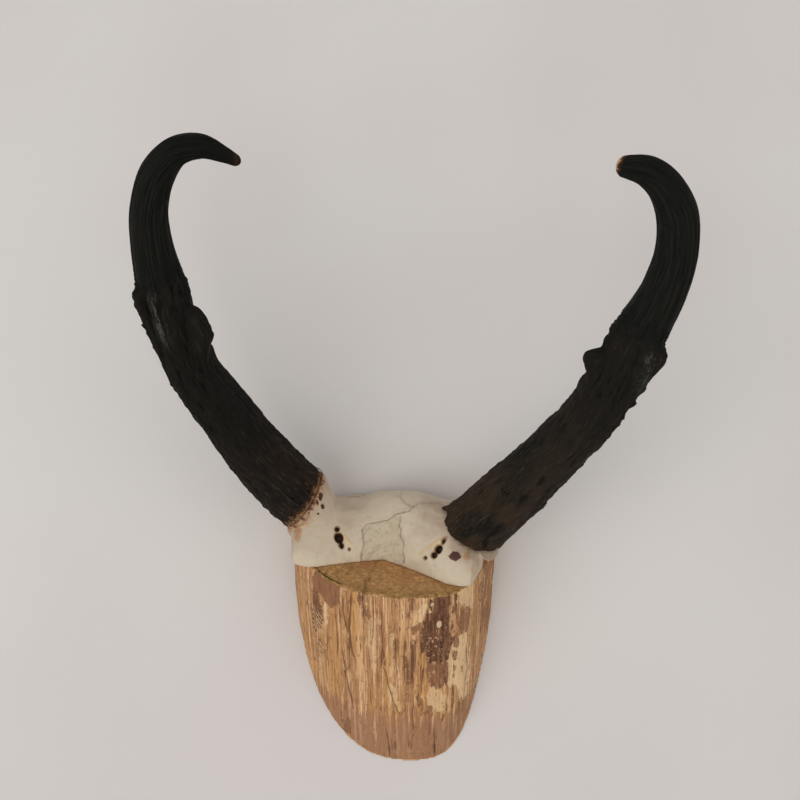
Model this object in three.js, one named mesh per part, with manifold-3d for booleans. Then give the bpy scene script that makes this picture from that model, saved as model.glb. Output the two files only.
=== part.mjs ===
// Pronghorn horns on a sawn skull cap, fixed on a leaning log stub that hangs on a wall.
// Millimetres, +Z up. The wall is the plane y = 0 and the trophy stands out from it towards -Y.
// The origin is the point where the log's axis leaves its oblique back.
// Left and right are a viewer's, facing the wall.
import * as THREE from "three";
import { mergeVertices } from "three/addons/utils/BufferGeometryUtils.js";
import Module from "manifold-3d";

const wasm = await Module();
wasm.setup();

// Clearance kept between pieces that touch.
const GAP = 0.3;
// Length of a cutting block or bore that has to reach right past the trophy.
const BEYOND = 500;

// Log stub: a round section that is a little fuller at its front right corner.
const LOG_LEAN = THREE.MathUtils.degToRad(33.6);
const LOG_RADIUS = 62;
const LOG_TOP = 49.5;
// The sharp upper edge at the back is sawn off level, at this height.
const LOG_REAR_TRIM = 49;
const LOG_CORNER = 6.4;
const LOG_CORNER_ANGLE = THREE.MathUtils.degToRad(-57);
const LOG_CORNER_SPREAD = 0.36;
const LOG_SIDES = 64;

// Skull cap, in its own frame: x across, y backwards, z up off the log's top.
const SKULL_PLACE = [-1.7, -9.9];
const SKULL_TURN = THREE.MathUtils.degToRad(-10.3);
// Ribs from the midline out: [across, then [backwards, up] points from the front edge to the rear edge].
const SKULL_RIBS = [
  [0, [[-23, 2], [-21.5, 8], [-17, 17], [-10, 23.5], [0, 26.8], [9, 25.8], [19, 19.5], [30, 11], [39, 2]]],
  [13, [[-26.5, 2], [-25, 7.5], [-20, 15.5], [-12, 21.2], [-2, 24.6], [8, 24.2], [18, 19], [29, 11], [38, 2]]],
  [28, [[-32, 2], [-30, 5.5], [-23.5, 11.5], [-15, 16.5], [-4, 19.5], [6, 19], [16, 14.5], [26, 9], [34, 2]]],
  [38, [[-36, 2], [-34, 6], [-27, 12], [-18, 17], [-5, 20], [7, 19.5], [16, 15], [24, 9], [30, 2]]],
  [47, [[-37, 2], [-35, 6.5], [-28, 12.5], [-19, 17], [-6, 20], [7, 19.5], [15, 15], [21, 9], [26, 2]]],
  [53, [[-35, 2], [-33, 6], [-26, 11], [-18, 15], [-7, 17.5], [5, 17], [13, 12.5], [18, 7.5], [22, 2]]],
  [57, [[-20, 4], [-19, 6], [-16, 8.5], [-12, 10.5], [-5, 12], [2, 11.5], [8, 9], [12, 6.5], [14, 4]]],
];
// The right half of the forehead stands a little higher than the left one, between the horns.
const SKULL_LOPSIDED = 0.0095;
const SKULL_LOPSIDED_REACH = 45;
const SKULL_STATIONS = 30;
const SKULL_ARCH_POINTS = 18;
const BRAIN_CAVITY = { across: 29, back: 26, up: 16, behind: 8 };
// Rims of the eye sockets, which stand out at the sides: middles and half sizes.
const EYE_RIMS = [
  { middle: [-54.5, -11, 7.5], size: [6.5, 9, 3.6] },
  { middle: [60, -12, 9], size: [10, 9.5, 3.4] },
];
// Bony stubs under the sheaths: mm that they run down from the seat, and how much wider they are than
// the sheath at the seat and at the foot.
const STUB = { down: 24, wider: 1.02, footWider: 0.62 };
// Room over a seat from which the skull's bone is cut away, and the skull's clearance from the wall.
const SEAT_ROOM = { width: 44, height: 70 };
const SKULL_OFF_WALL = 2;

// Horn sheaths. Each station, from the base to the tip, is
// [across, backwards, up, half width, half depth].
// The seat is where the bone ends under the sheath: mm up from the first station, and its tilt.
// A lobe that stands off a sheath: mm along it from the first station, the turn round it from its
// outer side towards its front, how far out its middle is, and its half sizes along, across and out.
const HORN_LEFT = {
  side: -1,
  stations: [
    [-50, 0.5, 16, 17.4, 21],
    [-64.5, -1.5, 33.5, 16.6, 20.8],
    [-76.4, -3, 49.7, 15.5, 20.5],
    [-92.2, -6, 78.5, 12.9, 20],
    [-106, -9, 105.7, 11.3, 19],
    [-115.2, -10, 134.5, 11.6, 17.5],
    [-120.4, -9, 160.5, 12.5, 14.5],
    [-123.9, -6, 182.9, 10.5, 12],
    [-124.9, -1, 201.1, 9.5, 10.5],
    [-120, 5, 218.4, 8.8, 9.4],
    [-111, 10, 228.2, 7.3, 7.8],
    [-99.9, 15, 230, 6.2, 6.4],
    [-89.8, 19, 225, 4.2, 4.4],
    [-82, 22, 219.8, 1.8, 1.9],
  ],
  seat: { up: 5, tilt: THREE.MathUtils.degToRad(10) },
  prong: { up: 149, turn: 1.35, out: 0.66, size: [23, 8, 9.5] },
  knob: { up: 139, turn: 3.05, out: 1.15, size: [14.5, 7, 7] },
};
const HORN_RIGHT = {
  side: 1,
  stations: [
    [46.2, 0.5, 9.7, 17.4, 21],
    [58.9, -1.5, 28.8, 17.1, 20.8],
    [70.2, -3, 45.1, 16.4, 20.5],
    [89.5, -6, 75.7, 14.1, 20],
    [106.2, -9, 105.1, 13.2, 19],
    [118.3, -10, 132.1, 13, 17.5],
    [126.4, -9, 158.5, 12.9, 14.5],
    [134.9, -6, 181.2, 11.2, 12],
    [138.3, -1, 199.6, 10.2, 11],
    [136.2, 5, 215.8, 9.8, 10.2],
    [129.8, 10, 226.2, 8.6, 9.2],
    [121.4, 15, 231.4, 7.5, 7.8],
    [113.6, 19, 231.6, 6, 6.2],
    [106.6, 21.5, 230.8, 4.2, 4.3],
  ],
  seat: { up: 7, tilt: THREE.MathUtils.degToRad(-8) },
  prong: { up: 156, turn: 0.85, out: 0.7, size: [21, 8, 10] },
  knob: { up: 147, turn: 3, out: 0.98, size: [11, 4.6, 5.4] },
};
const HORN_SIDES = 20;
const HORN_STEPS = 44;

// Screws that hold the skull: driven up the log from deep counterbores in its back.
const SKULL_SCREW = { length: 50, radius: 2.5, headRadius: 4.8, headHeight: 3 };
const SKULL_SCREW_ACROSS = 36;
const SKULL_SCREW_BACK = -3;
const SKULL_SCREW_HEAD_AT = 13;
const COUNTERBORE_RADIUS = 5.6;

// Sawtooth hanger, flush in a recess in the back.
const HANGER = { length: 46, height: 11, thickness: 1, ear: 8, slope: 3, rise: 1.5, tooth: 2.6, teeth: 9 };
const HANGER_UP = 34;
const HANGER_SCREW = { length: 10, radius: 1.3, headRadius: 2.8, headHeight: 1.1 };
const HANGER_SCREW_ACROSS = 19.5;
const RECESS = { length: 54, height: 24, depth: 3.6, drop: 4.5 };

const WOOD = new THREE.MeshStandardMaterial({ color: 0xb98c5e, roughness: 0.75, metalness: 0 });
const BONE = new THREE.MeshStandardMaterial({ color: 0xd9d2c2, roughness: 0.6, metalness: 0 });
const HORN = new THREE.MeshStandardMaterial({ color: 0x1b1714, roughness: 0.55, metalness: 0 });
const STEEL = new THREE.MeshStandardMaterial({ color: 0xb9b5aa, roughness: 0.35, metalness: 1 });

// Solids and meshes.

function solid(geometry) {
  const bare = geometry.clone();
  bare.deleteAttribute("normal");
  bare.deleteAttribute("uv");
  const merged = mergeVertices(bare, 1e-4);
  return new wasm.Manifold(new wasm.Mesh({
    numProp: 3,
    vertProperties: new Float32Array(merged.attributes.position.array),
    triVerts: new Uint32Array(merged.index.array),
  }));
}

function geometryOf(body) {
  const { vertProperties, triVerts } = body.getMesh();
  const geometry = new THREE.BufferGeometry();
  geometry.setAttribute("position", new THREE.BufferAttribute(new Float32Array(vertProperties), 3));
  geometry.setIndex(new THREE.BufferAttribute(new Uint32Array(triVerts), 1));
  geometry.computeVertexNormals();
  return geometry;
}

function piece(name, geometry, material) {
  const mesh = new THREE.Mesh(geometry, material);
  mesh.name = name;
  return mesh;
}

// A closed skin over rings of points, each ring with the same number of points, with flat ends.
function skin(rings) {
  const sides = rings[0].length;
  const places = rings.flat().flatMap((p) => [p.x, p.y, p.z]);
  const index = [];
  for (let r = 0; r + 1 < rings.length; r += 1) {
    for (let k = 0; k < sides; k += 1) {
      const here = r * sides + k;
      const next = r * sides + ((k + 1) % sides);
      index.push(here, next, here + sides, next, next + sides, here + sides);
    }
  }
  for (const [ring, forward] of [[0, false], [rings.length - 1, true]]) {
    const middle = new THREE.Vector3();
    rings[ring].forEach((p) => middle.addScaledVector(p, 1 / sides));
    const hub = places.length / 3;
    places.push(middle.x, middle.y, middle.z);
    for (let k = 0; k < sides; k += 1) {
      const here = ring * sides + k;
      const next = ring * sides + ((k + 1) % sides);
      index.push(hub, ...(forward ? [here, next] : [next, here]));
    }
  }
  const geometry = new THREE.BufferGeometry();
  geometry.setAttribute("position", new THREE.Float32BufferAttribute(places, 3));
  geometry.setIndex(index);
  geometry.computeVertexNormals();
  return geometry;
}

function bore(radius, length, sides) {
  return new THREE.CylinderGeometry(radius, radius, length, sides);
}

// An egg with its half sizes along three given directions.
function egg(middle, directions, size) {
  const shape = new THREE.SphereGeometry(1, 14, 10);
  const frame = new THREE.Matrix4().makeBasis(
    ...directions.map((way, k) => way.clone().multiplyScalar(size[k])));
  return shape.applyMatrix4(frame.setPosition(middle));
}

// The log's frame: x across, z up along its axis, which leans out from the wall.
const log = new THREE.Group();
log.rotation.x = LOG_LEAN;
log.updateMatrix();
const wallToLog = log.matrix.clone().invert();

// The skull's frame, standing on the log's top.
const skull = new THREE.Group();
skull.position.set(SKULL_PLACE[0], SKULL_PLACE[1], LOG_TOP);
skull.rotation.z = SKULL_TURN;
skull.updateMatrix();
const logToSkull = skull.matrix.clone().invert();

// Log stub.

function logSection() {
  const points = [];
  for (let k = 0; k < LOG_SIDES; k += 1) {
    const angle = (k / LOG_SIDES) * 2 * Math.PI;
    const off = Math.atan2(Math.sin(angle - LOG_CORNER_ANGLE), Math.cos(angle - LOG_CORNER_ANGLE));
    const radius = LOG_RADIUS + LOG_CORNER * Math.exp(-((off / LOG_CORNER_SPREAD) ** 2));
    points.push(new THREE.Vector2(radius * Math.cos(angle), radius * Math.sin(angle)));
  }
  return new THREE.Shape(points);
}

// A hole along the log's axis for a skull screw, between two distances up the log.
function screwHole(side, radius, from, to) {
  return bore(radius, to - from, 20)
    .rotateX(Math.PI / 2)
    .translate(side * SKULL_SCREW_ACROSS, SKULL_SCREW_BACK, (from + to) / 2);
}

function logGeometry() {
  const below = LOG_RADIUS / Math.tan(LOG_LEAN) + 2 * LOG_CORNER;
  const trunk = new THREE.ExtrudeGeometry(logSection(), {
    depth: LOG_TOP + below,
    steps: 1,
    bevelEnabled: false,
  });
  trunk.translate(0, 0, -below);
  const wallSide = new THREE.BoxGeometry(BEYOND, BEYOND, BEYOND).translate(0, BEYOND / 2, 0);
  const featherEdge = new THREE.BoxGeometry(BEYOND, BEYOND, BEYOND)
    .translate(0, 0, LOG_REAR_TRIM + BEYOND / 2);
  const recess = new THREE.BoxGeometry(RECESS.length, RECESS.depth * 2, RECESS.height)
    .translate(0, 0, HANGER_UP - RECESS.drop);
  let body = solid(trunk)
    .subtract(solid(wallSide.applyMatrix4(wallToLog)))
    .subtract(solid(featherEdge.applyMatrix4(wallToLog)))
    .subtract(solid(recess.applyMatrix4(wallToLog)));
  const headRoom = SKULL_SCREW_HEAD_AT + SKULL_SCREW.headHeight + GAP;
  const pilotDepth = HANGER_SCREW.length + RECESS.depth;
  for (const side of [-1, 1]) {
    const pilot = bore(HANGER_SCREW.radius + GAP, 2 * pilotDepth, 16)
      .translate(side * HANGER_SCREW_ACROSS, 0, HANGER_UP);
    body = body
      .subtract(solid(screwHole(side, COUNTERBORE_RADIUS, -LOG_RADIUS, headRoom)))
      .subtract(solid(screwHole(side, SKULL_SCREW.radius + GAP, 0, LOG_TOP + BEYOND)))
      .subtract(solid(pilot.applyMatrix4(wallToLog)));
  }
  return geometryOf(body);
}

// Horn sheaths.

function routeOf({ stations }) {
  return new THREE.CatmullRomCurve3(
    stations.map(([x, y, z]) => new THREE.Vector3(x, y, z)), false, "centripetal");
}

function sizesOf({ stations }) {
  return new THREE.CatmullRomCurve3(
    stations.map(([, , , wide, deep]) => new THREE.Vector3(wide, deep, 0)), false, "catmullrom", 0.5);
}

// The middle, the three directions and the half sizes of a sheath at a point of its route.
function stationAt(horn, t) {
  const route = routeOf(horn);
  const along = route.getTangent(t);
  const back = new THREE.Vector3(0, 1, 0);
  back.addScaledVector(along, -back.dot(along)).normalize();
  const wide = new THREE.Vector3().crossVectors(back, along);
  const outer = wide.clone().multiplyScalar(horn.side);
  return { middle: route.getPoint(t), along, back, wide, outer, size: sizesOf(horn).getPoint(t) };
}

function stationUp(horn, up) {
  const route = routeOf(horn);
  return stationAt(horn, route.getUtoTmapping(up / route.getLength()));
}

function hornRing(horn, t) {
  const { middle, back, wide, size } = stationAt(horn, t);
  const ring = [];
  for (let k = 0; k < HORN_SIDES; k += 1) {
    const angle = (k / HORN_SIDES) * 2 * Math.PI;
    ring.push(middle.clone()
      .addScaledVector(wide, size.x * Math.cos(angle))
      .addScaledVector(back, size.y * Math.sin(angle)));
  }
  return ring;
}

function lobe(horn, { up, turn, out, size }) {
  const here = stationUp(horn, up);
  const outwards = here.outer.clone()
    .multiplyScalar(Math.cos(turn))
    .addScaledVector(here.back, -Math.sin(turn));
  const middle = here.middle.clone()
    .addScaledVector(here.outer, here.size.x * out * Math.cos(turn))
    .addScaledVector(here.back, -here.size.y * out * Math.sin(turn));
  const sideways = new THREE.Vector3().crossVectors(here.along, outwards).normalize();
  return egg(middle, [outwards, sideways, here.along], [size[2], size[1], size[0]]);
}

// A block standing on the seat's plane (height above 0) or hanging under it (height below 0).
function seatBlock(horn, width, height) {
  const { middle, along, back, outer } = stationUp(horn, horn.seat.up);
  const normal = along.clone().applyAxisAngle(back, horn.side * horn.seat.tilt);
  const across = new THREE.Vector3().crossVectors(back, normal);
  const frame = new THREE.Matrix4().makeBasis(across, back, normal);
  const lift = height > 0 ? height / 2 - GAP : height / 2;
  return new THREE.BoxGeometry(width, BEYOND, Math.abs(height))
    .translate(0, 0, lift)
    .applyMatrix4(frame.setPosition(middle.addScaledVector(outer, 2)));
}

function hornGeometry(horn) {
  const rings = [];
  for (let s = 0; s <= HORN_STEPS; s += 1) {
    rings.push(hornRing(horn, s / HORN_STEPS));
  }
  return geometryOf(solid(skin(rings))
    .subtract(solid(seatBlock(horn, BEYOND, -BEYOND)))
    .add(solid(lobe(horn, horn.prong)))
    .add(solid(lobe(horn, horn.knob))));
}

// Skull cap.

// The bony stub that a sheath sits on, before it is cut off at the seat.
function stubGeometry(horn) {
  const { middle, along } = stationUp(horn, horn.seat.up);
  const foot = middle.clone().addScaledVector(along, -STUB.down);
  const head = middle.clone().addScaledVector(along, STUB.down / 2);
  const section = hornRing(horn, 0);
  const centre = stationAt(horn, 0).middle;
  const around = (place, wider) => section.map((p) => p.clone()
    .sub(centre)
    .multiplyScalar(wider)
    .add(place));
  return skin([around(foot, STUB.footWider), around(middle, STUB.wider), around(head, STUB.wider)]);
}

function skullRib(at) {
  const across = Math.abs(at);
  let r = 0;
  while (r + 2 < SKULL_RIBS.length && SKULL_RIBS[r + 1][0] < across) {
    r += 1;
  }
  const [from, low] = SKULL_RIBS[r];
  const [to, high] = SKULL_RIBS[r + 1];
  const mix = THREE.MathUtils.clamp((across - from) / (to - from), 0, 1);
  const slant = 1 + SKULL_LOPSIDED * at * Math.max(0, 1 - (across / SKULL_LOPSIDED_REACH) ** 4);
  const arch = low.map(([y, z], k) => new THREE.Vector3(
    at,
    THREE.MathUtils.lerp(y, high[k][0], mix),
    THREE.MathUtils.lerp(z, high[k][1], mix) * slant));
  const rib = new THREE.CatmullRomCurve3(arch, false, "centripetal").getPoints(SKULL_ARCH_POINTS - 1);
  const [front, rear] = [rib[0], rib[rib.length - 1]];
  return [
    new THREE.Vector3(at, rear.y, GAP),
    ...rib.reverse(),
    new THREE.Vector3(at, front.y, GAP),
  ];
}

function skullGeometry() {
  const reach = SKULL_RIBS[SKULL_RIBS.length - 1][0];
  const ribs = [];
  for (let s = 0; s <= SKULL_STATIONS; s += 1) {
    ribs.push(skullRib(reach * Math.sin(((s / SKULL_STATIONS) * 2 - 1) * (Math.PI / 2))));
  }
  const axes = [[1, 0, 0], [0, 1, 0], [0, 0, 1]].map((way) => new THREE.Vector3(...way));
  let body = solid(skin(ribs));
  for (const { middle, size } of EYE_RIMS) {
    body = body.add(solid(egg(new THREE.Vector3(...middle), axes, size)));
  }
  const cavity = new THREE.SphereGeometry(1, 22, 16);
  cavity.scale(BRAIN_CAVITY.across, BRAIN_CAVITY.back, BRAIN_CAVITY.up);
  body = body.subtract(solid(cavity.translate(0, BRAIN_CAVITY.behind, 0)));
  for (const horn of [HORN_LEFT, HORN_RIGHT]) {
    const room = seatBlock(horn, SEAT_ROOM.width, SEAT_ROOM.height);
    body = body.add(solid(stubGeometry(horn))).subtract(solid(room));
  }
  const logSide = new THREE.BoxGeometry(BEYOND, BEYOND, BEYOND).translate(0, 0, GAP - BEYOND / 2);
  const wallSide = new THREE.BoxGeometry(BEYOND, BEYOND, BEYOND)
    .translate(0, BEYOND / 2 - SKULL_OFF_WALL, 0)
    .applyMatrix4(wallToLog)
    .applyMatrix4(logToSkull);
  body = body.subtract(solid(logSide)).subtract(solid(wallSide));
  const tipRoom = SKULL_SCREW_HEAD_AT + SKULL_SCREW.length + GAP;
  for (const side of [-1, 1]) {
    const hole = screwHole(side, SKULL_SCREW.radius + GAP, 0, tipRoom);
    body = body.subtract(solid(hole.applyMatrix4(logToSkull)));
  }
  return geometryOf(body);
}

// Screws and hanger.

function screwGeometry({ length, radius, headRadius, headHeight }) {
  const tip = radius * 2.2;
  const profile = [
    [0, 0],
    [headRadius * 0.92, 0],
    [headRadius, headHeight * 0.3],
    [headRadius * 0.9, headHeight * 0.62],
    [radius, headHeight],
    [radius, length - tip],
    [radius * 0.12, length],
    [0, length],
  ];
  const turned = new THREE.LatheGeometry(profile.map(([r, y]) => new THREE.Vector2(r, y)), 16);
  turned.rotateX(Math.PI / 2);
  const slot = new THREE.BoxGeometry(headRadius * 1.2, radius * 0.5, headHeight * 0.9);
  const crossSlot = slot.clone().rotateZ(Math.PI / 2);
  return geometryOf(solid(turned).subtract(solid(slot)).subtract(solid(crossSlot)));
}

function hangerGeometry() {
  const { length, height, thickness, ear, slope, rise, tooth, teeth } = HANGER;
  const end = length / 2;
  const shoulder = end - ear;
  const step = shoulder - slope;
  const strip = new THREE.Shape([
    [-end, 0], [-shoulder, 0], [-step, rise], [step, rise], [shoulder, 0], [end, 0],
    [end, thickness], [shoulder, thickness], [step, rise + thickness],
    [-step, rise + thickness], [-shoulder, thickness], [-end, thickness],
  ].map(([x, y]) => new THREE.Vector2(x, y)));
  const bar = new THREE.ExtrudeGeometry(strip, { depth: height, steps: 1, bevelEnabled: false });
  bar.translate(0, -RECESS.depth + GAP, HANGER_UP - height / 2);
  let body = solid(bar);
  const pitch = (2 * step) / teeth;
  for (let k = 0; k < teeth; k += 1) {
    const notch = bore(tooth / 2, BEYOND, 3)
      .translate(-step + (k + 0.5) * pitch, 0, HANGER_UP - height / 2);
    body = body.subtract(solid(notch));
  }
  for (const side of [-1, 1]) {
    const hole = bore(HANGER_SCREW.radius + GAP, BEYOND, 16)
      .translate(side * HANGER_SCREW_ACROSS, 0, HANGER_UP);
    body = body.subtract(solid(hole));
  }
  return geometryOf(body);
}

// The trophy, put together.
const trophy = new THREE.Group();
log.add(piece("wood_block", logGeometry(), WOOD));

skull.add(piece("skull_plate", skullGeometry(), BONE));
skull.add(piece("horn_left", hornGeometry(HORN_LEFT), HORN));
skull.add(piece("horn_right", hornGeometry(HORN_RIGHT), HORN));
log.add(skull);

trophy.add(log);
trophy.add(piece("hanger", hangerGeometry(), STEEL));

const hangerScrewHead = -RECESS.depth + 2 * GAP + HANGER.thickness + HANGER_SCREW.headHeight;
for (const [side, name] of [[-1, "left"], [1, "right"]]) {
  const skullScrew = piece(`skull_screw_${name}`, screwGeometry(SKULL_SCREW), STEEL);
  skullScrew.position.set(side * SKULL_SCREW_ACROSS, SKULL_SCREW_BACK, SKULL_SCREW_HEAD_AT);
  log.add(skullScrew);

  const hangerScrew = piece(`hanger_screw_${name}`, screwGeometry(HANGER_SCREW), STEEL);
  hangerScrew.rotation.x = Math.PI / 2;
  hangerScrew.position.set(side * HANGER_SCREW_ACROSS, hangerScrewHead, HANGER_UP);
  trophy.add(hangerScrew);
}

export default trophy;
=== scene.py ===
"""Pronghorn horns on a sawn skull cap, on a log stub that hangs on a wall.

Metres, +Z up. The wall is the plane y = 0 and the trophy stands out from it towards -Y.
"""

import math

import bmesh
import bpy
import numpy as np
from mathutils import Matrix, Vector


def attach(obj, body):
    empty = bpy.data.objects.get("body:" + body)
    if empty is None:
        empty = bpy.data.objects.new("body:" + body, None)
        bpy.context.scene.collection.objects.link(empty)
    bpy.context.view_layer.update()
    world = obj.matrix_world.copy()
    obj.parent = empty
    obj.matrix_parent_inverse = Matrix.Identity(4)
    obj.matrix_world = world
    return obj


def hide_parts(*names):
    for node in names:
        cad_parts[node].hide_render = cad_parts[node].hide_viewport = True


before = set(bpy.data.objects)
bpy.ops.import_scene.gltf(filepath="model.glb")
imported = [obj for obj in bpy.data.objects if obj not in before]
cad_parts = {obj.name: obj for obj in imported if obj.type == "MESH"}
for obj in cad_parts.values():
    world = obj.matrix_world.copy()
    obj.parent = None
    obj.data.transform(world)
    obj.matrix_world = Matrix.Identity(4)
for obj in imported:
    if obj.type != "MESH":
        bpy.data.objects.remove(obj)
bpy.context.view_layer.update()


# ---------------------------------------------------------------------------
# The wall and the light. A plain plastered wall in soft daylight, with a pale floor well below it.
# The wall has an opening behind the log, smaller than the log's back, so that the back can be seen.

MM = 0.001
LOG_LEAN = math.radians(33.6)
LOG_RADIUS = 62 * MM
LOG_CORNER = 6.4 * MM
LOG_CORNER_ANGLE = math.radians(-57)
LOG_CORNER_SPREAD = 0.36
LOG_TOP = 49.5 * MM
LOG_REAR_TRIM = 49 * MM

bpy.context.scene.view_settings.view_transform = "Standard"


def turn_from(angles, middle):
    """How far angles are from a middle one, -pi to pi."""
    return np.angle(np.exp(1j * (angles - middle)))


def log_radius(angle):
    """Radius of the log's round section, which is fuller at one corner."""
    off = turn_from(angle, LOG_CORNER_ANGLE)
    return LOG_RADIUS + LOG_CORNER * np.exp(-((off / LOG_CORNER_SPREAD) ** 2))


def tone(red, green, blue):
    """A colour given 0 to 255 as a screen shows it, as the share of light sent back."""
    shares = []
    for part in (red, green, blue):
        value = part / 255
        linear = value / 12.92 if value <= 0.04045 else ((value + 0.055) / 1.055) ** 2.4
        shares.append(min(linear / 0.8, 1.0))
    return (*shares, 1.0)


def deselect_all():
    bpy.ops.object.select_all(action="DESELECT")


class Shade:
    """A socket in one material's nodes. Sums and products of shades add Math nodes."""

    # A Mix node's colour sockets share their names with its others, so they go by number.
    MIX_FIRST, MIX_SECOND, MIX_RESULT = 6, 7, 2

    def __init__(self, tree, socket=None):
        self.tree = tree
        self.socket = socket

    def add(self, kind, settings, sockets, output=0):
        node = self.tree.nodes.new(kind)
        for name, value in settings.items():
            setattr(node, name, value)
        for name, value in sockets.items():
            if isinstance(value, Shade):
                self.tree.links.new(value.socket, node.inputs[name])
            else:
                node.inputs[name].default_value = value
        return Shade(self.tree, node.outputs[output])

    def outputs(self, *names):
        return [Shade(self.tree, self.socket.node.outputs[name]) for name in names]

    def math(self, operation, *values):
        return self.add("ShaderNodeMath", {"operation": operation}, dict(enumerate(values)))

    def __add__(self, other):
        return self.math("ADD", self, other)

    def __radd__(self, other):
        return self.math("ADD", other, self)

    def __sub__(self, other):
        return self.math("SUBTRACT", self, other)

    def __rsub__(self, other):
        return self.math("SUBTRACT", other, self)

    def __mul__(self, other):
        return self.math("MULTIPLY", self, other)

    def __rmul__(self, other):
        return self.math("MULTIPLY", other, self)

    def __abs__(self):
        return self.math("ABSOLUTE", self)

    def within(self, low, high):
        """0 below low, 1 above high, and a soft step between; high below low turns it round."""
        return self.add("ShaderNodeMapRange", {"interpolation_type": "SMOOTHSTEP"},
                        {"Value": self, "From Min": low, "From Max": high})

    def clamped(self):
        return self.add("ShaderNodeClamp", {}, {"Value": self})

    def object_places(self):
        return self.add("ShaderNodeTexCoord", {}, {}, output="Object")

    def attribute(self, name):
        return self.add("ShaderNodeAttribute", {"attribute_name": name}, {}, output="Fac")

    def vector_attribute(self, name):
        return self.add("ShaderNodeAttribute", {"attribute_name": name}, {}, output="Vector")

    def xyz(self):
        return self.add("ShaderNodeSeparateXYZ", {}, {"Vector": self}).outputs("X", "Y", "Z")

    def mapped(self, scale, turn=(0, 0, 0)):
        return self.add("ShaderNodeMapping", {},
                        {"Vector": self, "Rotation": turn, "Scale": scale})

    def cloud(self, detail=3, roughness=0.5, distortion=0.0):
        """Noise over this vector, about 0.2 to 0.8."""
        return self.add("ShaderNodeTexNoise", {},
                        {"Vector": self, "Scale": 1.0, "Detail": detail, "Roughness": roughness,
                         "Distortion": distortion})

    def mix(self, other, share):
        """This colour, with a share of another one."""
        node = self.add("ShaderNodeMix", {"data_type": "RGBA"}, {"Factor": share}, self.MIX_RESULT)
        inputs = node.socket.node.inputs
        self.tree.links.new(self.socket, inputs[self.MIX_FIRST])
        if isinstance(other, Shade):
            self.tree.links.new(other.socket, inputs[self.MIX_SECOND])
        else:
            inputs[self.MIX_SECOND].default_value = other
        return node

    def plain(self, colour):
        """A plain colour, as the first layer that others are mixed over."""
        node = self.add("ShaderNodeMix", {"data_type": "RGBA"}, {"Factor": 0.0}, self.MIX_RESULT)
        node.socket.node.inputs[self.MIX_FIRST].default_value = colour
        return node

    def layered(self, *layers):
        """This colour, with layers of (colour, share) mixed over it in turn."""
        colour = self
        for other, share in layers:
            colour = colour.mix(other, share)
        return colour


def new_material(name, **constants):
    """A material with one Principled shader: the material, its nodes and that shader."""
    material = bpy.data.materials.new(name)
    material.use_nodes = True
    shader = material.node_tree.nodes["Principled BSDF"]
    for socket, value in constants.items():
        shader.inputs[socket.replace("_", " ")].default_value = value
    return material, Shade(material.node_tree), shader


def finish_material(shade, shader, colour, roughness=None, heights=()):
    """Joins a colour, a roughness and (height in metres, strength) layers to the shader."""
    shade.tree.links.new(colour.socket, shader.inputs["Base Color"])
    if roughness is not None:
        shade.tree.links.new(roughness.socket, shader.inputs["Roughness"])
    normal = None
    for height, strength in heights:
        sockets = {"Height": height, "Distance": 1.0, "Strength": strength}
        if normal is not None:
            sockets["Normal"] = normal
        normal = shade.add("ShaderNodeBump", {}, sockets)
    if normal is not None:
        shade.tree.links.new(normal.socket, shader.inputs["Normal"])


def active(name):
    """The object that an operator has just made, named."""
    made = bpy.context.object
    made.name = name
    made.data.name = name
    return made


OPENING_SHARE = 0.95
OPENING_TOP = 46 * MM
OPENING_STEPS = 721
WALL_BEHIND = 0.5 * MM
WALL_REACH = 3.0
WALL_SIDES = 96
FLOOR_DROP = 0.9
FLOOR_SIZE = 24

deselect_all()
bpy.ops.mesh.primitive_circle_add(vertices=WALL_SIDES, radius=WALL_REACH, rotation=(math.pi / 2, 0, 0))
wall = active("wall")
bpy.ops.object.transform_apply()
bpy.ops.object.mode_set(mode="EDIT")
bpy.ops.mesh.select_all(action="SELECT")
bpy.ops.mesh.extrude_edges_move()
# The log's section, where it leaves the wall: its height is stretched by the lean.
section = np.linspace(-math.pi, math.pi, OPENING_STEPS)
across = log_radius(section) * np.cos(section)
up = log_radius(section) * np.sin(section) / math.sin(LOG_LEAN)
sheet = bmesh.from_edit_mesh(wall.data)
for corner in [v for v in sheet.verts if v.select]:
    turn = math.atan2(corner.co.z, corner.co.x)
    nearest = int(np.argmin(np.abs(turn_from(np.arctan2(up, across), turn))))
    corner.co = Vector((across[nearest], 0, up[nearest])) * OPENING_SHARE
    if corner.co.z > OPENING_TOP:
        corner.co *= OPENING_TOP / corner.co.z
bmesh.update_edit_mesh(wall.data)
bpy.ops.mesh.select_all(action="SELECT")
bpy.ops.mesh.normals_make_consistent(inside=False)
bpy.ops.transform.translate(value=(0, WALL_BEHIND, 0))
bpy.ops.object.mode_set(mode="OBJECT")
if wall.data.polygons[0].normal.y > 0:
    wall.data.flip_normals()

plaster, shade, shader = new_material("plaster", Roughness=0.85, Specular_IOR_Level=0.2)
drift = shade.object_places().mapped((3, 3, 3)).cloud(detail=2)
plaster_colour = shade.plain(tone(211, 208, 205)).mix(tone(206, 201, 200), drift.within(0.4, 0.65))
finish_material(shade, shader, plaster_colour)
# From behind, the wall is clear.
behind = shade.add("ShaderNodeNewGeometry", {}, {}, output="Backfacing")
clear = shade.add("ShaderNodeBsdfTransparent", {}, {})
painted = Shade(shade.tree, shader.outputs["BSDF"])
one_way = shade.add("ShaderNodeMixShader", {}, {0: behind, 1: painted, 2: clear})
shade.tree.links.new(one_way.socket, shade.tree.nodes["Material Output"].inputs["Surface"])
wall.data.materials.append(plaster)

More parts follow.
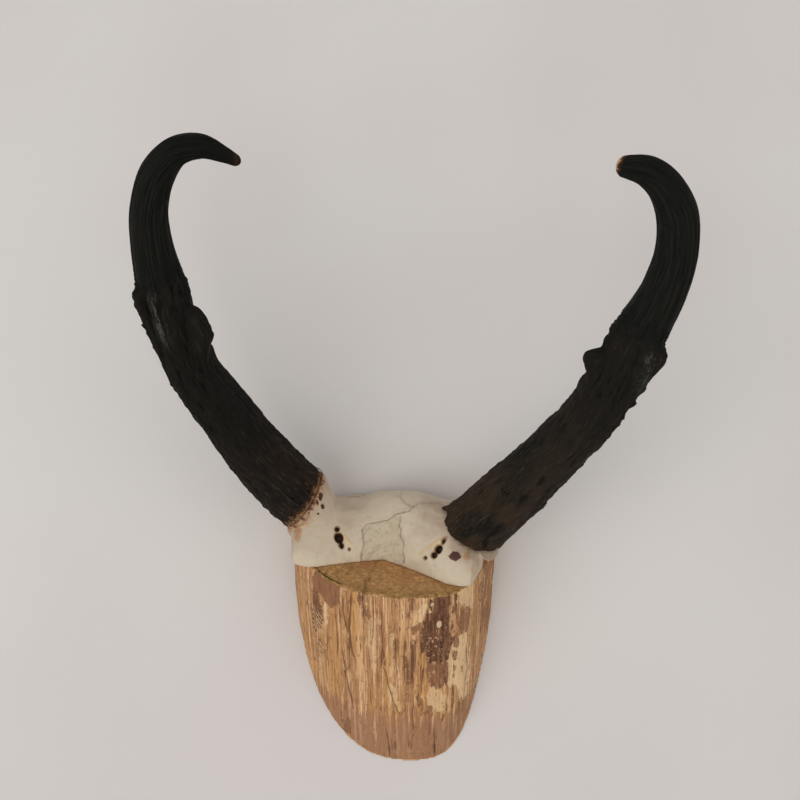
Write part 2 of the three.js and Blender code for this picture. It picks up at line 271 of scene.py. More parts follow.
deselect_all()
bpy.ops.mesh.primitive_plane_add(size=FLOOR_SIZE, location=(0, 0, -FLOOR_DROP))
ground = active("floor")
bpy.ops.object.transform_apply()
screed, shade, shader = new_material("screed", Roughness=0.8)
drift = shade.object_places().mapped((2, 2, 2)).cloud()
screed_colour = shade.plain(tone(214, 211, 208)).mix(tone(211, 208, 205), drift.within(0.3, 0.7))
finish_material(shade, shader, screed_colour)
ground.data.materials.append(screed)


LIGHT_AIM = Vector((0, 0, 0.05))
SKY_COLOUR = (0.86, 0.853, 0.843, 1)
SKY_STRENGTH = 0.435
CAMERA_PLACE = (3.4 * MM, -640 * MM, 117.3 * MM)
CAMERA_LENS = 45
CAMERA_SENSOR = 36
CAMERA_NEAR = 0.01


def soft_light(name, place, size, power, colour, aim=LIGHT_AIM):
    deselect_all()
    bpy.ops.object.light_add(type="AREA", location=place)
    lamp = bpy.context.object
    lamp.name = name
    lamp.rotation_euler = (aim - Vector(place)).to_track_quat("-Z", "Y").to_euler()
    lamp.data.shape = "SQUARE"
    lamp.data.size = size
    lamp.data.energy = power
    lamp.data.color = colour


soft_light("window", (-1.15, -2.05, -0.6), size=2.5, power=35, colour=(1.0, 0.992, 0.975),
           aim=Vector((0, 0, 0)))
soft_light("room", (1.0, -1.9, 0.6), size=2.2, power=8.5, colour=(1.0, 0.985, 0.97))
soft_light("back", (0.9, 1.6, 0.9), size=1.6, power=14, colour=(1.0, 0.99, 0.97))

sky = bpy.data.worlds.new("room_air")
sky.use_nodes = True
sky.node_tree.nodes["Background"].inputs["Color"].default_value = SKY_COLOUR
sky.node_tree.nodes["Background"].inputs["Strength"].default_value = SKY_STRENGTH
bpy.context.scene.world = sky

deselect_all()
bpy.ops.object.camera_add(location=CAMERA_PLACE, rotation=(math.pi / 2, 0, 0))
camera = bpy.context.object
camera.data.lens = CAMERA_LENS
camera.data.sensor_width = CAMERA_SENSOR
camera.data.clip_start = CAMERA_NEAR
bpy.context.scene.camera = camera


# ---------------------------------------------------------------------------
# The log stub. Pine with its bark peeled off in strips, so that the fibres, some checks and the last
# patches of inner bark show. Sawn square at the top and obliquely at the back, where it meets the wall.

LOG_CELL = 0.9 * MM
# Patches of inner bark: how dark, then rows from the top down of (mm up the log, mm round it from the
# front to the left edge and to the right edge).
BARK_PATCHES = [
    (1.0, [(47.9, 19.1, 29.5), (37.5, 18.6, 29.6), (27.1, 15.3, 30.7), (16.7, 13.7, 32.5), (6.4, 13.9, 31.6),
           (-4.0, 19.5, 29.5)]),
    (0.62, [(-3.4, 18.3, 27.2), (-11.2, 18.1, 30.5), (-19.0, 19.3, 30.7), (-26.7, 24.5, 28.5)]),
    (0.8, [(48.3, 30.7, 33.2), (40.3, 30.6, 33.2), (32.3, 30.5, 32.9), (24.2, 30.4, 32.9), (16.2, 30.4, 32.4),
           (8.2, 31.0, 31.2)]),
    (0.36, [(36.2, 34.3, 37.0), (31.0, 34.6, 41.6), (25.8, 35.6, 43.8), (20.7, 36.9, 44.9),
            (15.5, 38.5, 43.4), (12.3, 39.5, 41.0)]),
    (0.45, [(12.3, 34.2, 35.5), (8.3, 34.2, 36.3), (4.4, 35.1, 35.2)]),
    (0.62, [(48.8, 7.1, 12.0), (42.7, 7.0, 12.0), (36.5, 7.0, 12.0), (30.4, 7.0, 11.0)]),
    (0.38, [(29.4, 11.0, 14.9), (25.3, 6.3, 14.8), (21.2, 8.3, 12.9)]),
    (0.66, [(14.9, 7.0, 11.6), (6.8, 6.9, 11.7), (-1.3, 6.9, 11.6), (-9.4, 6.7, 11.6), (-17.5, 7.2, 11.5),
            (-25.6, 8.5, 10.7)]),
    (0.3, [(15.0, 1.4, 2.5), (7.4, -1.5, 2.6), (-0.2, -1.5, 2.4), (-7.8, 0.2, 0.7)]),
    (0.42, [(-31.1, 4.9, 7.1), (-38.5, 4.4, 6.8), (-45.8, 4.0, 6.3), (-53.2, 4.8, 4.9)]),
    (0.6, [(-34.9, 13.6, 14.7), (-40.3, 12.6, 15.3), (-45.7, 12.8, 14.9), (-51.2, 13.9, 14.1)]),
    (0.5, [(-43.8, 19.2, 20.2), (-47.8, 18.5, 20.5), (-51.9, 20.0, 20.4)]),
    (0.5, [(-51.2, 28.8, 29.4), (-54.7, 28.0, 30.1), (-58.1, 28.3, 29.2)]),
    (0.5, [(-29.7, 33.5, 34.6), (-36.1, 32.7, 37.2), (-42.4, 32.7, 38.1), (-48.7, 33.0, 38.5),
           (-55.1, 33.3, 38.0), (-61.4, 34.9, 35.5)]),
    (0.55, [(48.1, -50.8, -30.2), (42.4, -54.7, -30.5), (36.7, -54.0, -31.1), (31.0, -42.8, -37.1)]),
    (0.85, [(35.1, -53.1, -47.8), (27.7, -55.3, -46.6), (20.4, -56.5, -46.0), (13.1, -57.2, -46.2),
            (5.8, -57.4, -48.8), (-1.5, -56.2, -54.0)]),
    (0.42, [(-5.0, -52.1, -48.8), (-12.7, -55.2, -48.2), (-20.5, -55.5, -49.5), (-28.2, -54.9, -53.4)]),
    (0.45, [(35.5, -31.9, -30.7), (30.1, -34.5, -30.0), (24.7, -34.6, -30.3), (19.3, -33.6, -32.0)]),
    (0.4, [(48.7, -21.6, -18.3), (41.7, -21.4, -18.0), (34.7, -19.7, -16.0), (27.7, -18.5, -17.0)]),
    (0.26, [(38.3, 51.5, 62.3), (27.2, 54.9, 70.1), (16.0, 57.4, 81.0), (4.9, 62.0, 84.3), (-6.2, 64.4, 81.9),
            (-17.4, 67.2, 75.9)]),
    (0.3, [(48.2, 58.9, 74.9), (41.5, 60.5, 80.3), (34.8, 60.4, 82.8), (28.1, 64.7, 79.9),
           (21.3, 71.0, 81.3)]),
    (0.3, [(-64.1, -30.4, -29.8), (-68.8, -35.5, -29.1), (-73.6, -35.0, -29.1), (-78.3, -34.5, -30.3)]),
    (0.5, [(30, -100, -92), (10, -104, -90), (-14, -103, -94)]),
    (0.45, [(44, 90, 98), (22, 88, 102), (6, 92, 100)]),
]
# Places scraped down to the palest wood, the same way.
SCRAPED = [
    (0.95, [(11.2, 33.4, 41.0), (-2.3, 30.6, 46.5), (-13.8, 30.0, 48.5), (-25.2, 30.6, 48.2),
            (-36.7, 36.6, 47.8), (-48.2, 40.0, 45.3)]),
    (0.75, [(48.7, 34.1, 45.2), (41.7, 34.4, 46.7), (34.7, 39.7, 49.0), (27.7, 47.3, 49.0)]),
    (0.9, [(48.9, 13.2, 18.9), (42.4, 12.4, 18.7), (35.8, 12.4, 16.9), (29.2, 13.9, 14.5)]),
    (0.7, [(48.5, 3.4, 6.6), (42.0, 3.0, 6.6), (35.6, 3.4, 6.4), (29.2, 5.4, 6.0)]),
    (0.7, [(39.8, -45.4, -43.0), (33.6, -47.0, -42.8), (27.4, -46.2, -42.8), (21.2, -46.2, -43.2),
           (15.0, -46.0, -43.9), (8.8, -45.4, -44.6)]),
    (0.6, [(-25.4, 19.3, 24.2), (-33.0, 17.0, 28.5), (-40.5, 19.1, 30.3), (-48.1, 23.9, 28.0)]),
    (0.55, [(-23.2, -2.8, -1.0), (-28.3, -2.5, 3.7), (-33.5, -1.8, 4.6), (-38.6, -0.4, 5.0),
            (-43.8, 1.2, 4.7), (-48.9, 2.8, 3.6)]),
    (0.5, [(30, -14, -9), (10, -16, -9), (-12, -14, -10)]),
    (0.5, [(20, -2.5, 0), (4, -4, -1), (-16, -4, -1)]),
]
# Small bare ovals in the largest patch of bark: mm round, mm up, half width and half height.
KNOTS = [(24.4, 27.9, 1.45, 2.9), (20.6, 43.8, 1.0, 1.9), (19.6, 38.1, 0.8, 1.3), (15.2, 20.2, 0.5, 0.7),
         (19.4, 17, 1.4, 0.4), (21.4, 14, 0.5, 1.5), (24, 6, 0.4, 0.6), (22, 2.6, 0.5, 0.6),
         (25.4, 5.4, 0.4, 0.7), (29, 1.5, 0.4, 0.5), (18, 10, 0.3, 0.8)]
# Drying checks: half width in mm, then corners of (mm round, mm up). They follow the fibres.
CHECKS = [
    (0.28, [(-36.2, 30.7), (-36.4, 13.0), (-35.9, 0.4), (-36.3, -9.8)]),
    (0.4, [(-30.5, 42.2), (-30.4, 28.8), (-28.9, 15.1)]),
    (0.42, [(-24.8, 48.2), (-25.9, 30.8), (-27.3, 17.7), (-26.2, 2.2), (-23.5, -8.5)]),
    (0.25, [(-27.7, 11.6), (-27.8, -8.9), (-28.4, -18.8)]),
    (0.45, [(-18.0, 49.4), (-18.2, 42.7), (-17.6, 36.8), (-18.7, 30.9)]),
    (0.3, [(-42.5, 9.2), (-43.6, -4.6), (-43.8, -24.9)]),
    (0.22, [(-7.3, 37.2), (-7.3, 17.3), (-7.2, 7.5)]),
    (0.75, [(-7.2, 8.5), (-7.0, 2), (-7.6, -7.3)]),
    (0.32, [(-6.9, -8.3), (-4.9, -14.1), (-4.1, -22.8), (-2.8, -28.0), (-0.5, -38.6), (3.4, -49.6)]),
    (0.2, [(0.0, 30.9), (0.4, 12.1), (0.6, -7.4)]),
    (0.34, [(-5.0, -64.9), (-3.9, -76.9), (-3.2, -90.2)]),
    (0.5, [(-30.1, -17.0), (-31.4, -21.3), (-29.8, -27.5), (-29.2, -35.4), (-27.8, -42.9), (-26.3, -52.4)]),
    (0.5, [(10.4, 11.6), (10.7, -1.0), (10.1, -17.5)]),
    (0.28, [(43.6, -0.6), (45.1, -20.5), (44.2, -41.3), (41.8, -59.5)]),
    (0.24, [(11.0, -30.9), (11.5, -41.8), (10.9, -54.8)]),
    (0.3, [(-63.1, 17.6), (-62.4, -0.5), (-60.2, -15.9)]),
    (0.3, [(23.8, -66.5), (24.5, -77.3), (24.3, -86.2)]),
    (0.25, [(49.8, 20.4), (50.7, 4.4), (48.8, -11.7)]),
    (0.2, [(-11.9, 45.9), (-11.8, 28.5), (-12.6, 13.5)]),
    (0.22, [(6.0, 15.7), (5.6, -2.8), (5.7, -20.2)]),
    (0.3, [(16.6, -4.6), (15.8, -20.3), (15.6, -31.0)]),
    (0.22, [(-15.0, -30.4), (-14.8, -45.0)]),
    (0.3, [(-78, 44), (-80, 20), (-79, -6)]),
    (0.3, [(88, 30), (90, 8), (88, -8)]),
]
# Scribed lines on the sawn top: mm across and mm back from the log's axis.
TOP_LINES = [[(-33.5, -42.9), (-28.7, -35.9)], [(-27.8, -44.1), (-23.7, -36.5)],
             [(-15.8, -58.2), (-16.9, -48.6)], [(34.6, -54.3), (43.4, -50.2)]]
# Large odd numbers that scatter a place and a seed, and the 32 bits that are kept of them.
SCATTER_X, SCATTER_Y, SCATTER_Z = 374761393, 668265263, 1442695041
SCATTER_SEED, SCATTER_AGAIN = 974634777, 1274126177
KEPT_BITS = 0xFFFFFFFF


def value_noise(points, seed):
    """Smooth random values, 0 to 1, over points given in cells."""
    cell = np.floor(points).astype(np.int64)
    part = points - cell
    part = part * part * (3 - 2 * part)
    total = np.zeros(len(points))
    for corner in np.ndindex(2, 2, 2):
        x, y, z = (cell + np.array(corner)).T
        mixed = (x * SCATTER_X + y * SCATTER_Y + z * SCATTER_Z + seed * SCATTER_SEED) & KEPT_BITS
        mixed = ((mixed ^ (mixed >> 13)) * SCATTER_AGAIN) & KEPT_BITS
        mixed = mixed ^ (mixed >> 16)
        weight = np.prod(np.where(corner, part, 1 - part), axis=1)
        total += weight * mixed / (KEPT_BITS + 1)
    return total


def soft_step(low, high, values):
    """0 at low, 1 at high and a soft step between; high below low turns it round."""
    part = np.clip((values - low) / (high - low), 0, 1)
    return part * part * (3 - 2 * part)


def rows_of(mesh, kind):
    """Every vertex's place ("co") or normal ("normal"), as rows of x, y and z."""
    flat_list = np.empty(len(mesh.vertices) * 3)
    mesh.vertices.foreach_get(kind, flat_list)
    return flat_list.reshape(-1, 3)


def move_points(mesh, points):
    mesh.vertices.foreach_set("co", points.astype(np.float32).ravel())
    mesh.update()


def keep_masks(mesh, **masks):
    """Keeps numbers, one for each vertex, as attributes that the materials read."""
    for name, values in masks.items():
        layer = mesh.attributes.new(name, "FLOAT", "POINT")
        layer.data.foreach_set("value", values.astype(np.float32))


def keep_places(mesh, name, places):
    layer = mesh.attributes.new(name, "FLOAT_VECTOR", "POINT")
    layer.data.foreach_set("vector", places.astype(np.float32).ravel())


def to_lines(points, lines):
    """Distance of each point to the nearest of several lines through given corners."""
    best = np.full(len(points), 1e9)
    for line in lines:
        corners = np.array(line, dtype=float)
        for start, end in zip(corners[:-1], corners[1:]):
            way = end - start
            share = np.clip((points - start) @ way / (way @ way), 0, 1)
            gap = np.linalg.norm(points - start - share[:, None] * way, axis=1)
            best = np.minimum(best, gap)
    return best


def finer_copy(node, name, cell):
    """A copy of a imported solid, merged and rebuilt in small even faces."""
    deselect_all()
    made = bpy.data.objects.new(name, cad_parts[node].data.copy())
    bpy.context.scene.collection.objects.link(made)
    made.select_set(True)
    bpy.context.view_layer.objects.active = made
    bpy.ops.object.mode_set(mode="EDIT")
    bpy.ops.mesh.select_all(action="SELECT")
    bpy.ops.mesh.remove_doubles(threshold=1e-5)
    bpy.ops.object.mode_set(mode="OBJECT")
    made.data.materials.clear()
    bpy.ops.object.modifier_add(type="REMESH")
    remesh = made.modifiers[-1]
    remesh.mode = "VOXEL"
    remesh.voxel_size = cell
    bpy.ops.object.modifier_apply(modifier=remesh.name)
    return made


def log_places(points):
    """Points in the log's own directions: across, backwards, and up along its axis."""
    across = points[:, 0]
    back = points[:, 1] * math.cos(LOG_LEAN) + points[:, 2] * math.sin(LOG_LEAN)
    up = -points[:, 1] * math.sin(LOG_LEAN) + points[:, 2] * math.cos(LOG_LEAN)
    return np.stack([across, back, up], axis=1)


def from_log(places):
    """The reverse: the log's own directions, back to the scene's."""
    across, back, up = places.T
    return np.stack([
        across,
        back * math.cos(LOG_LEAN) - up * math.sin(LOG_LEAN),
        back * math.sin(LOG_LEAN) + up * math.cos(LOG_LEAN)], axis=1)


def inside_patches(around, up, patches):
    """How far inside the nearest patch each place is, in mm, below 0 outside; and its strength."""
    depth = np.full(len(around), -9.0)
    strength = np.zeros(len(around))
    for own_strength, rows in patches:
        (top, *top_edges), (bottom, *bottom_edges) = rows[0], rows[-1]
        top_middle, bottom_middle = sum(top_edges) / 2, sum(bottom_edges) / 2
        past_top = top + (2 if top < LOG_TOP / MM - 6 else 9)
        closed = [(bottom - 2, bottom_middle + 1.5, bottom_middle - 1.5), *rows[::-1],
                  (past_top, top_middle + 1.5, top_middle - 1.5)]
        ups, lefts, rights = np.array(closed).T
        own_depth = np.minimum(around - np.interp(up, ups, lefts), np.interp(up, ups, rights) - around)
        strength = np.where(own_depth > depth, own_strength, strength)
        depth = np.maximum(depth, own_depth)
    return depth, strength


def beside_checks(around, up, checks):
    """How far aside of the nearest check each place is, in mm, and its half width there."""
    aside = np.full(len(around), 9.0)
    half = np.full(len(around), -0.5)
    for own_half, corners in checks:
        rounds, ups = np.array(corners[::-1]).T
        own_aside = around - np.interp(up, ups, rounds)
        fade = np.interp(up, [ups[0] - 2, ups[0] + 4, ups[-1] - 4, ups[-1] + 2], [0, 1, 1, 0])
        near = (np.abs(own_aside) < np.minimum(np.abs(aside), 2.4)) & (fade > 0)
        aside = np.where(near, own_aside, aside)
        half = np.where(near, own_half * fade, half)
    return aside, half


log_block = finer_copy("wood_block", "log_block", LOG_CELL)
points = rows_of(log_block.data, "co")
own = log_places(points) / MM
radius = np.hypot(own[:, 0], own[:, 1])
turn = np.arctan2(own[:, 0], -own[:, 1])
around = turn * LOG_RADIUS / MM
rim = log_radius(np.arctan2(own[:, 1], own[:, 0])) / MM
under_top = LOG_TOP / MM - own[:, 2]
from_wall = -points[:, 1] / MM
# Shares of the side, the sawn top and the sawn back, on which each place lies.
side = soft_step(2.2, 0.8, rim - radius) * (points[:, 2] / MM < LOG_REAR_TRIM / MM - 1.2)
top = soft_step(0.9, 0.5, under_top)
rear = soft_step(0.9, 0.5, from_wall)
skin_place = np.stack([around, np.zeros(len(around)), own[:, 2]], axis=1)


def fibres(wide, long, seed):
    """Random bumps, -0.5 to 0.5, drawn out along the log: mm round it and mm up."""
    return value_noise(skin_place / np.array([wide, 1, long]) + 100, seed) - 0.5


edge_wander = 5 * fibres(1.5, 16, 3) + 4 * fibres(3.0, 34, 16) + 2.4 * fibres(1.6, 3, 4)
bark_depth, bark_dark = inside_patches(around, own[:, 2], BARK_PATCHES)
bare_depth, bare_pale = inside_patches(around, own[:, 2], SCRAPED)
bark_depth, bare_depth = bark_depth + edge_wander, bare_depth + edge_wander
knot = np.full(len(points), -9.0)
for at, up, wide, tall in KNOTS:
    knot = np.maximum(knot, wide * (1 - np.hypot((around - at) / wide, (own[:, 2] - up) / tall)))
check_aside, check_half = beside_checks(around + 0.9 * fibres(2.4, 12, 6), own[:, 2], CHECKS)
check_half = check_half * (0.45 + value_noise(skin_place / np.array([9, 1, 7]) + 60, 17))

# The side in mm outwards: coarse and fine fibres, bark that stands up, and scraped places and checks.
relief = 0.7 * fibres(1.6, 26, 7) + fibres(4, 50, 8) + fibres(17, 90, 9) + 0.5 * fibres(1.4, 6, 12)
relief += 0.75 * bark_dark**0.5 * soft_step(0, 0.9, bark_depth) * soft_step(0.2, -0.4, knot)
relief -= 0.45 * bare_pale * soft_step(0, 0.9, bare_depth)
in_check = soft_step(-0.6, 0.3, check_half - np.abs(check_aside))
relief -= 0.9 * np.maximum(check_half, 0) ** 0.5 * in_check
relief *= side
rim_wear = soft_step(2.4, 0.2, under_top) * soft_step(3.0, 0.8, rim - radius)
rim_chips = value_noise(skin_place / 2.6 + 50, 10) * value_noise(skin_place / 6 + 50, 13)
relief -= rim_wear * (0.3 + 1.5 * rim_chips)
outward = np.stack([own[:, 0], own[:, 1], np.zeros(len(own))], axis=1) / np.maximum(radius, 1)[:, None]
moved = points + from_log(outward) * (relief * MM * soft_step(0.2, 2.0, from_wall))[:, None]
# The top in mm along the axis: the saw's own roughness.
top_grain = 0.3 * (value_noise(own / 1.5 + 70, 14) - 0.5) + 0.35 * (value_noise(own / 5 + 70, 15) - 0.5)
moved += from_log(np.array([[0, 0, 1]])) * ((top_grain - 0.2) * top * MM)[:, None]
moved[:, 1] = np.minimum(moved[:, 1], 0)
move_points(log_block.data, moved)
bpy.ops.object.shade_smooth()

degrees = np.degrees(turn)
# A crack along the sawn top's left rim, which the wood paints dark as painted shade.
rim_gap = np.abs(radius - (rim - 1.3 - 1.2 * value_noise(skin_place / 5 + 9, 11)))
rim_check = soft_step(0.9, 0.2, rim_gap) * soft_step(-56, -52, degrees) * soft_step(-27, -32, degrees)
keep_masks(
    log_block.data,
    top=top, rear=rear * (1 - top), rim_check=rim_check * top, knot=knot,
    rim_near=soft_step(9, 0.5, rim - radius) * top,
    scribed=soft_step(0.9, 0.2, to_lines(own[:, :2], TOP_LINES)) * top,
    bark_depth=bark_depth, bark_dark=bark_dark, bare_depth=bare_depth, bare_pale=bare_pale,
    check_aside=check_aside, check_half=check_half)
keep_places(log_block.data, "skin", skin_place)

peeled_wood, shade, shader = new_material("peeled_wood", Specular_IOR_Level=0.22)
place = shade.object_places().mapped((1, 1, 1), (-LOG_LEAN, 0, 0))
round_at, _, up_at = shade.vector_attribute("skin").xyz()
side_x, depth_back, height_up = place.xyz()
broad = place.mapped((130, 130, 8)).cloud(detail=2)
streak = place.mapped((400, 400, 15)).cloud(detail=5, roughness=0.65)
cord = place.mapped((620, 620, 30)).cloud(detail=4, roughness=0.7, distortion=0.4)
fibre = place.mapped((1300, 1300, 42)).cloud(detail=4, roughness=0.7)
speck = place.mapped((1300, 1300, 700)).cloud(detail=5, roughness=0.75)
blotch = place.mapped((70, 70, 30)).cloud(detail=4, roughness=0.6)
edge_noise = (fibre - 0.5) * 4.5 + (speck - 0.5) * 4.0 + (cord - 0.5) * 2.5
bark_field = (shade.attribute("bark_depth") + edge_noise).within(-0.1, 0.7) * shade.attribute("bark_dark")
bare_field = (shade.attribute("bare_depth") + edge_noise).within(-0.1, 0.9) * shade.attribute("bare_pale")
check_gap = abs(shade.attribute("check_aside") + (fibre - 0.5) * 0.9)
check_field = (shade.attribute("check_half") * (0.6 + fibre) - check_gap).within(-0.14, 0.2)
knot_field = (shade.attribute("knot") + (speck - 0.5) * 0.8).within(-0.1, 0.2)

dash = place.mapped((560, 560, 70)).cloud(detail=3, roughness=0.6, distortion=0.3)
dot = place.mapped((420, 420, 210)).cloud(detail=3, roughness=0.6)
low_zone = (height_up + (streak - 0.5) * 0.07 + (dash - 0.5) * 0.05).within(-0.046, -0.056)
# Where the tool ran smoothly the fibres hardly show; at the foot they are long and soft.
frayed = (1 - broad.within(0.46, 0.58) * 0.6) * (1 - low_zone * 0.75) * (1 - bare_field * 0.5)
dark_cord = abs(cord - 0.5).within(0.012, 0.003) * streak.within(0.6, 0.48)
wood_colour = shade.plain(tone(176, 131, 90)).layered(
    (tone(214, 172, 128), streak.within(0.48, 0.6)),
    (tone(192, 142, 86), broad.within(0.5, 0.64) * 0.75),
    (tone(150, 104, 68), cord.within(0.53, 0.62) * 0.75),
    (tone(166, 114, 84), blotch.within(0.54, 0.66) * 0.55),
    (tone(152, 111, 84), low_zone * 0.8),
    (tone(188, 148, 112), low_zone * streak.within(0.5, 0.62) * 0.45),
    (tone(226, 193, 150), bare_field * (0.5 + streak)),
    (tone(232, 196, 152), fibre.within(0.53, 0.62) * frayed * 0.75),
    (tone(112, 72, 45), fibre.within(0.45, 0.36) * frayed * 0.7),
    (tone(116, 76, 48), dark_cord * frayed * 0.8),
    (tone(112, 74, 48), dash.within(0.62, 0.67) * (1 - bare_field * 0.7) * 0.8),
    (tone(118, 80, 54), (dot + (speck - 0.5) * 0.6).within(0.64, 0.7) * 0.6),
)
# The inner bark gets darker where it is thicker, and has pale flecks in its lower half.
rough_bark = bark_field.within(0, 0.15) * ((speck - 0.5) * 1.8 + (cord - 0.5) * 1.3 + (dash - 0.5) * 1.1)
worn = bark_field + rough_bark
pale_fleck = (dot + (speck - 0.5) * 0.9).within(0.4, 0.33) * up_at.within(30, 14)
# Slanting knife strokes through the bark at the left.
stroke = (round_at + up_at) * 1.6 + (speck - 0.5) * 5 + (cord - 0.5) * 4
stroke = stroke.math("SINE", stroke).within(0.3, 0.75)
stroke_edge = round_at + (dash - 0.5) * 8
stroke_rows = up_at.within(21, 18) * up_at.within(-1, 2) + up_at.within(-6, -9) * up_at.within(-30, -26)
stroke_zone = stroke_edge.within(-45.4, -47) * stroke_edge.within(-58.5, -57) * stroke_rows
wood_colour = wood_colour.layered(
    (tone(154, 108, 76), worn.within(0.14, 0.3) * 0.9),
    (tone(132, 92, 66), worn.within(0.46, 0.66) * 0.85),
    (tone(106, 72, 52), worn.within(0.74, 0.95) * 0.85),
    (tone(72, 44, 32), worn.within(1.0, 1.16) * 0.8),
    (tone(196, 158, 116), pale_fleck * worn.within(0.3, 0.5) * 0.9),
    (tone(208, 172, 130), stroke * stroke_zone * 0.85),
    (tone(210, 184, 152), knot_field),
    # Painted shade: the drying checks painted darker.
    (tone(96, 62, 40), check_field * 0.7),
)
# The sawn faces: growth rings round the pith, and the saw's own marks.
ring_noise = place.mapped((30, 30, 6)).cloud(detail=2)
squares = side_x * side_x + depth_back * depth_back
ring_phase = squares.math("SQRT", squares) * 2300 + ring_noise * 9
ring = ring_phase.math("SINE", ring_phase)
sawn = place.mapped((420, 420, 420)).cloud(detail=5, roughness=0.7)
sawn_broad = place.mapped((70, 110, 70)).cloud(detail=3, roughness=0.6)
rim_near = shade.attribute("rim_near")
top_colour = shade.plain(tone(158, 118, 74)).layered(
    (tone(182, 140, 90), sawn.within(0.44, 0.58)),
    (tone(160, 112, 74), sawn_broad.within(0.5, 0.62) * 0.6),
    (tone(152, 120, 68), rim_near.within(0.1, 0.8) * 0.6),
    (tone(130, 92, 58), ring.within(0.4, 1.0) * 0.2),
    (tone(200, 160, 106), (sawn + rim_near * 0.12).within(0.6, 0.72) * 0.45),
    (tone(104, 72, 44), (dot + (speck - 0.5) * 0.6 + rim_near * 0.1).within(0.62, 0.7) * 0.6),
    (tone(110, 76, 48), shade.attribute("scribed") * 0.5),
    # Painted shade: a dark line along the crack at the top's left rim.
    (tone(58, 36, 24), shade.attribute("rim_check").within(0.3, 0.8)),
)
rear_colour = shade.plain(tone(196, 156, 110)).layered(
    (tone(172, 130, 88), ring.within(0.0, 1.0) * 0.6),
    (tone(150, 112, 76), sawn.within(0.55, 0.75) * 0.5),
)
on_top = shade.attribute("top").within(0.4, 0.6)
wood_colour = wood_colour.layered(
    (top_colour, on_top),
    (rear_colour, shade.attribute("rear").within(0.4, 0.6)),
)
wood_rough = (0.62 + 0.25 * fibre).clamped()
on_side = 1 - on_top
finish_material(shade, shader, wood_colour, wood_rough, [
    ((fibre * 0.45 + cord * 0.9) * on_side * 0.0007 - check_field * 0.0006, 0.8),
    (worn.within(0.2, 0.4) * 0.0004 + speck * 0.00016 + sawn * 0.00016, 0.7),
])
log_block.data.materials.append(peeled_wood)
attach(log_block, "root")
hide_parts("wood_block")


# ---------------------------------------------------------------------------
# The skull cap. Bleached bone, sawn off flat under the forehead and screwed down on the log's top.
# Its seams, nerve holes, the coarse bone over the nose and some old stains stay as they were.

SKULL_PLACE = np.array([-1.7, -9.9, 49.5])
SKULL_TURN = math.radians(10.3)
SKULL_CELL = 0.57 * MM
# Marks on the front of the skull are given in the plane of the wall: mm across and mm up.
# Nerve holes: middle, half width, half height, how far the top leans over (radians) and depth.
NERVE_HOLES = [
    ((-33.6, 41.5), 1.5, 1.5, 0.0, 2.5), ((-32.5, 36.7), 2.5, 3.3, -0.35, 4.5),
    ((-31.0, 32.6), 1.4, 2.1, -0.45, 3.5), ((-26.1, 30.4), 0.8, 0.9, 0.0, 1.2),
    ((28.3, 36.6), 0.95, 2.0, 0.4, 1.8), ((25.3, 32.0), 2.0, 2.8, 0.6, 4.5),
    ((22.8, 28.6), 1.7, 1.9, 0.6, 3.0), ((17.9, 26.8), 0.95, 1.1, 0.3, 1.4),
]
SEAMS = [
    [(11.2, 54.6), (9.1, 52.4), (0.8, 51.1), (-2.8, 47.9), (-8.6, 46.6), (-15.4, 45.6), (-18.5, 42.5),
     (-18.6, 38), (-17.4, 33.6), (-19.2, 27), (-19.5, 22.5)],
    [(3.9, 49.3), (3.4, 45.4), (3.4, 41.3), (5.5, 34.2), (5.7, 22.5)],
]
FAINT_SEAMS = [
    [(4.5, 62.3), (3.4, 60.1), (6.6, 56.9), (11.2, 54.6)],
    [(11.2, 54.6), (15.1, 56.8), (21.3, 56.8), (27.8, 56.1)],
]
COARSE_OUTLINE = [(-19.4, 21), (-18.8, 27), (-17.4, 33.6), (-18.6, 38), (-18.3, 42.4), (-15.4, 45.4),
                  (-8.6, 46.4), (-2.8, 47.7), (0.8, 50.8), (4.1, 50.6), (3.6, 45.4), (3.4, 41.3),
                  (5.4, 34.2), (5.6, 21)]
YELLOW_RIDGES = [[(-29.4, 37.1), (-24.6, 33.4)], [(14.9, 28.9), (21, 33.4), (26.9, 37.1)]]
SCAB_OUTLINE = [(30.9, 28.8), (33.4, 31.3), (36.2, 30.4), (38.2, 27.6), (35.0, 25.4), (31.8, 26.9)]
# Dark brown spots in the crust beside the left horn: middle, half width and half height.
DARK_SPOTS = [((-46.0, 66.0), 1.0, 1.3), ((-43.2, 60.4), 1.3, 2.2), ((-42.0, 54.6), 1.0, 1.7),
              ((-44.8, 57.0), 0.8, 0.9), ((-48.4, 69.0), 0.8, 0.8), ((-44.5, 50.6), 0.8, 0.7)]
# Stains: middle, half width, half height, how strong.
STAINS = [((41.4, 28.6), 2.6, 2.4, 0.9), ((44.4, 30.4), 2.4, 1.6, 0.8), ((-56.0, 38.3), 2.8, 5.2, 1.0),
          ((-52.5, 45), 3.5, 2.5, 0.7), ((-42.2, 35.5), 5, 6, 0.32), ((46, 22), 3, 6, 0.5),
          ((39, 36), 6, 3, 0.35)]
# The dip in the forehead beside the left horn: middle across, half width, depth, and where it starts
# and is at its deepest, up the bone.
FOREHEAD_DIP = {"middle": -25, "half": 11, "depth": 2.6, "from": 49, "to": 57}
SEAT_REACH = 34
# The crust round each horn's base: its reach over the bone and its strength, left and right.
CRUST_REACH = (5.5, 0.7)
CRUST_STRENGTH = (1, 0.3)
LAP_DEPTH = 2.6
# Smoothing steps, one that shrinks and one that swells back a little more, and how often.
SMOOTHING_STEPS = (0.5, -0.515)
SMOOTHING_ROUNDS = 45


def unit(vector):
    return np.array(vector) / np.linalg.norm(vector)


# Where each sheath sits on the bone: the seat's middle and the way it faces, in the skull's directions.
SEATS = {
    "left": {"middle": np.array([-54.7, 0.1, 18.5]), "facing": unit((-0.765, -0.088, 0.638))},
    "right": {"middle": np.array([51.7, -0.1, 14.4]), "facing": unit((0.428, -0.088, 0.9))},
}


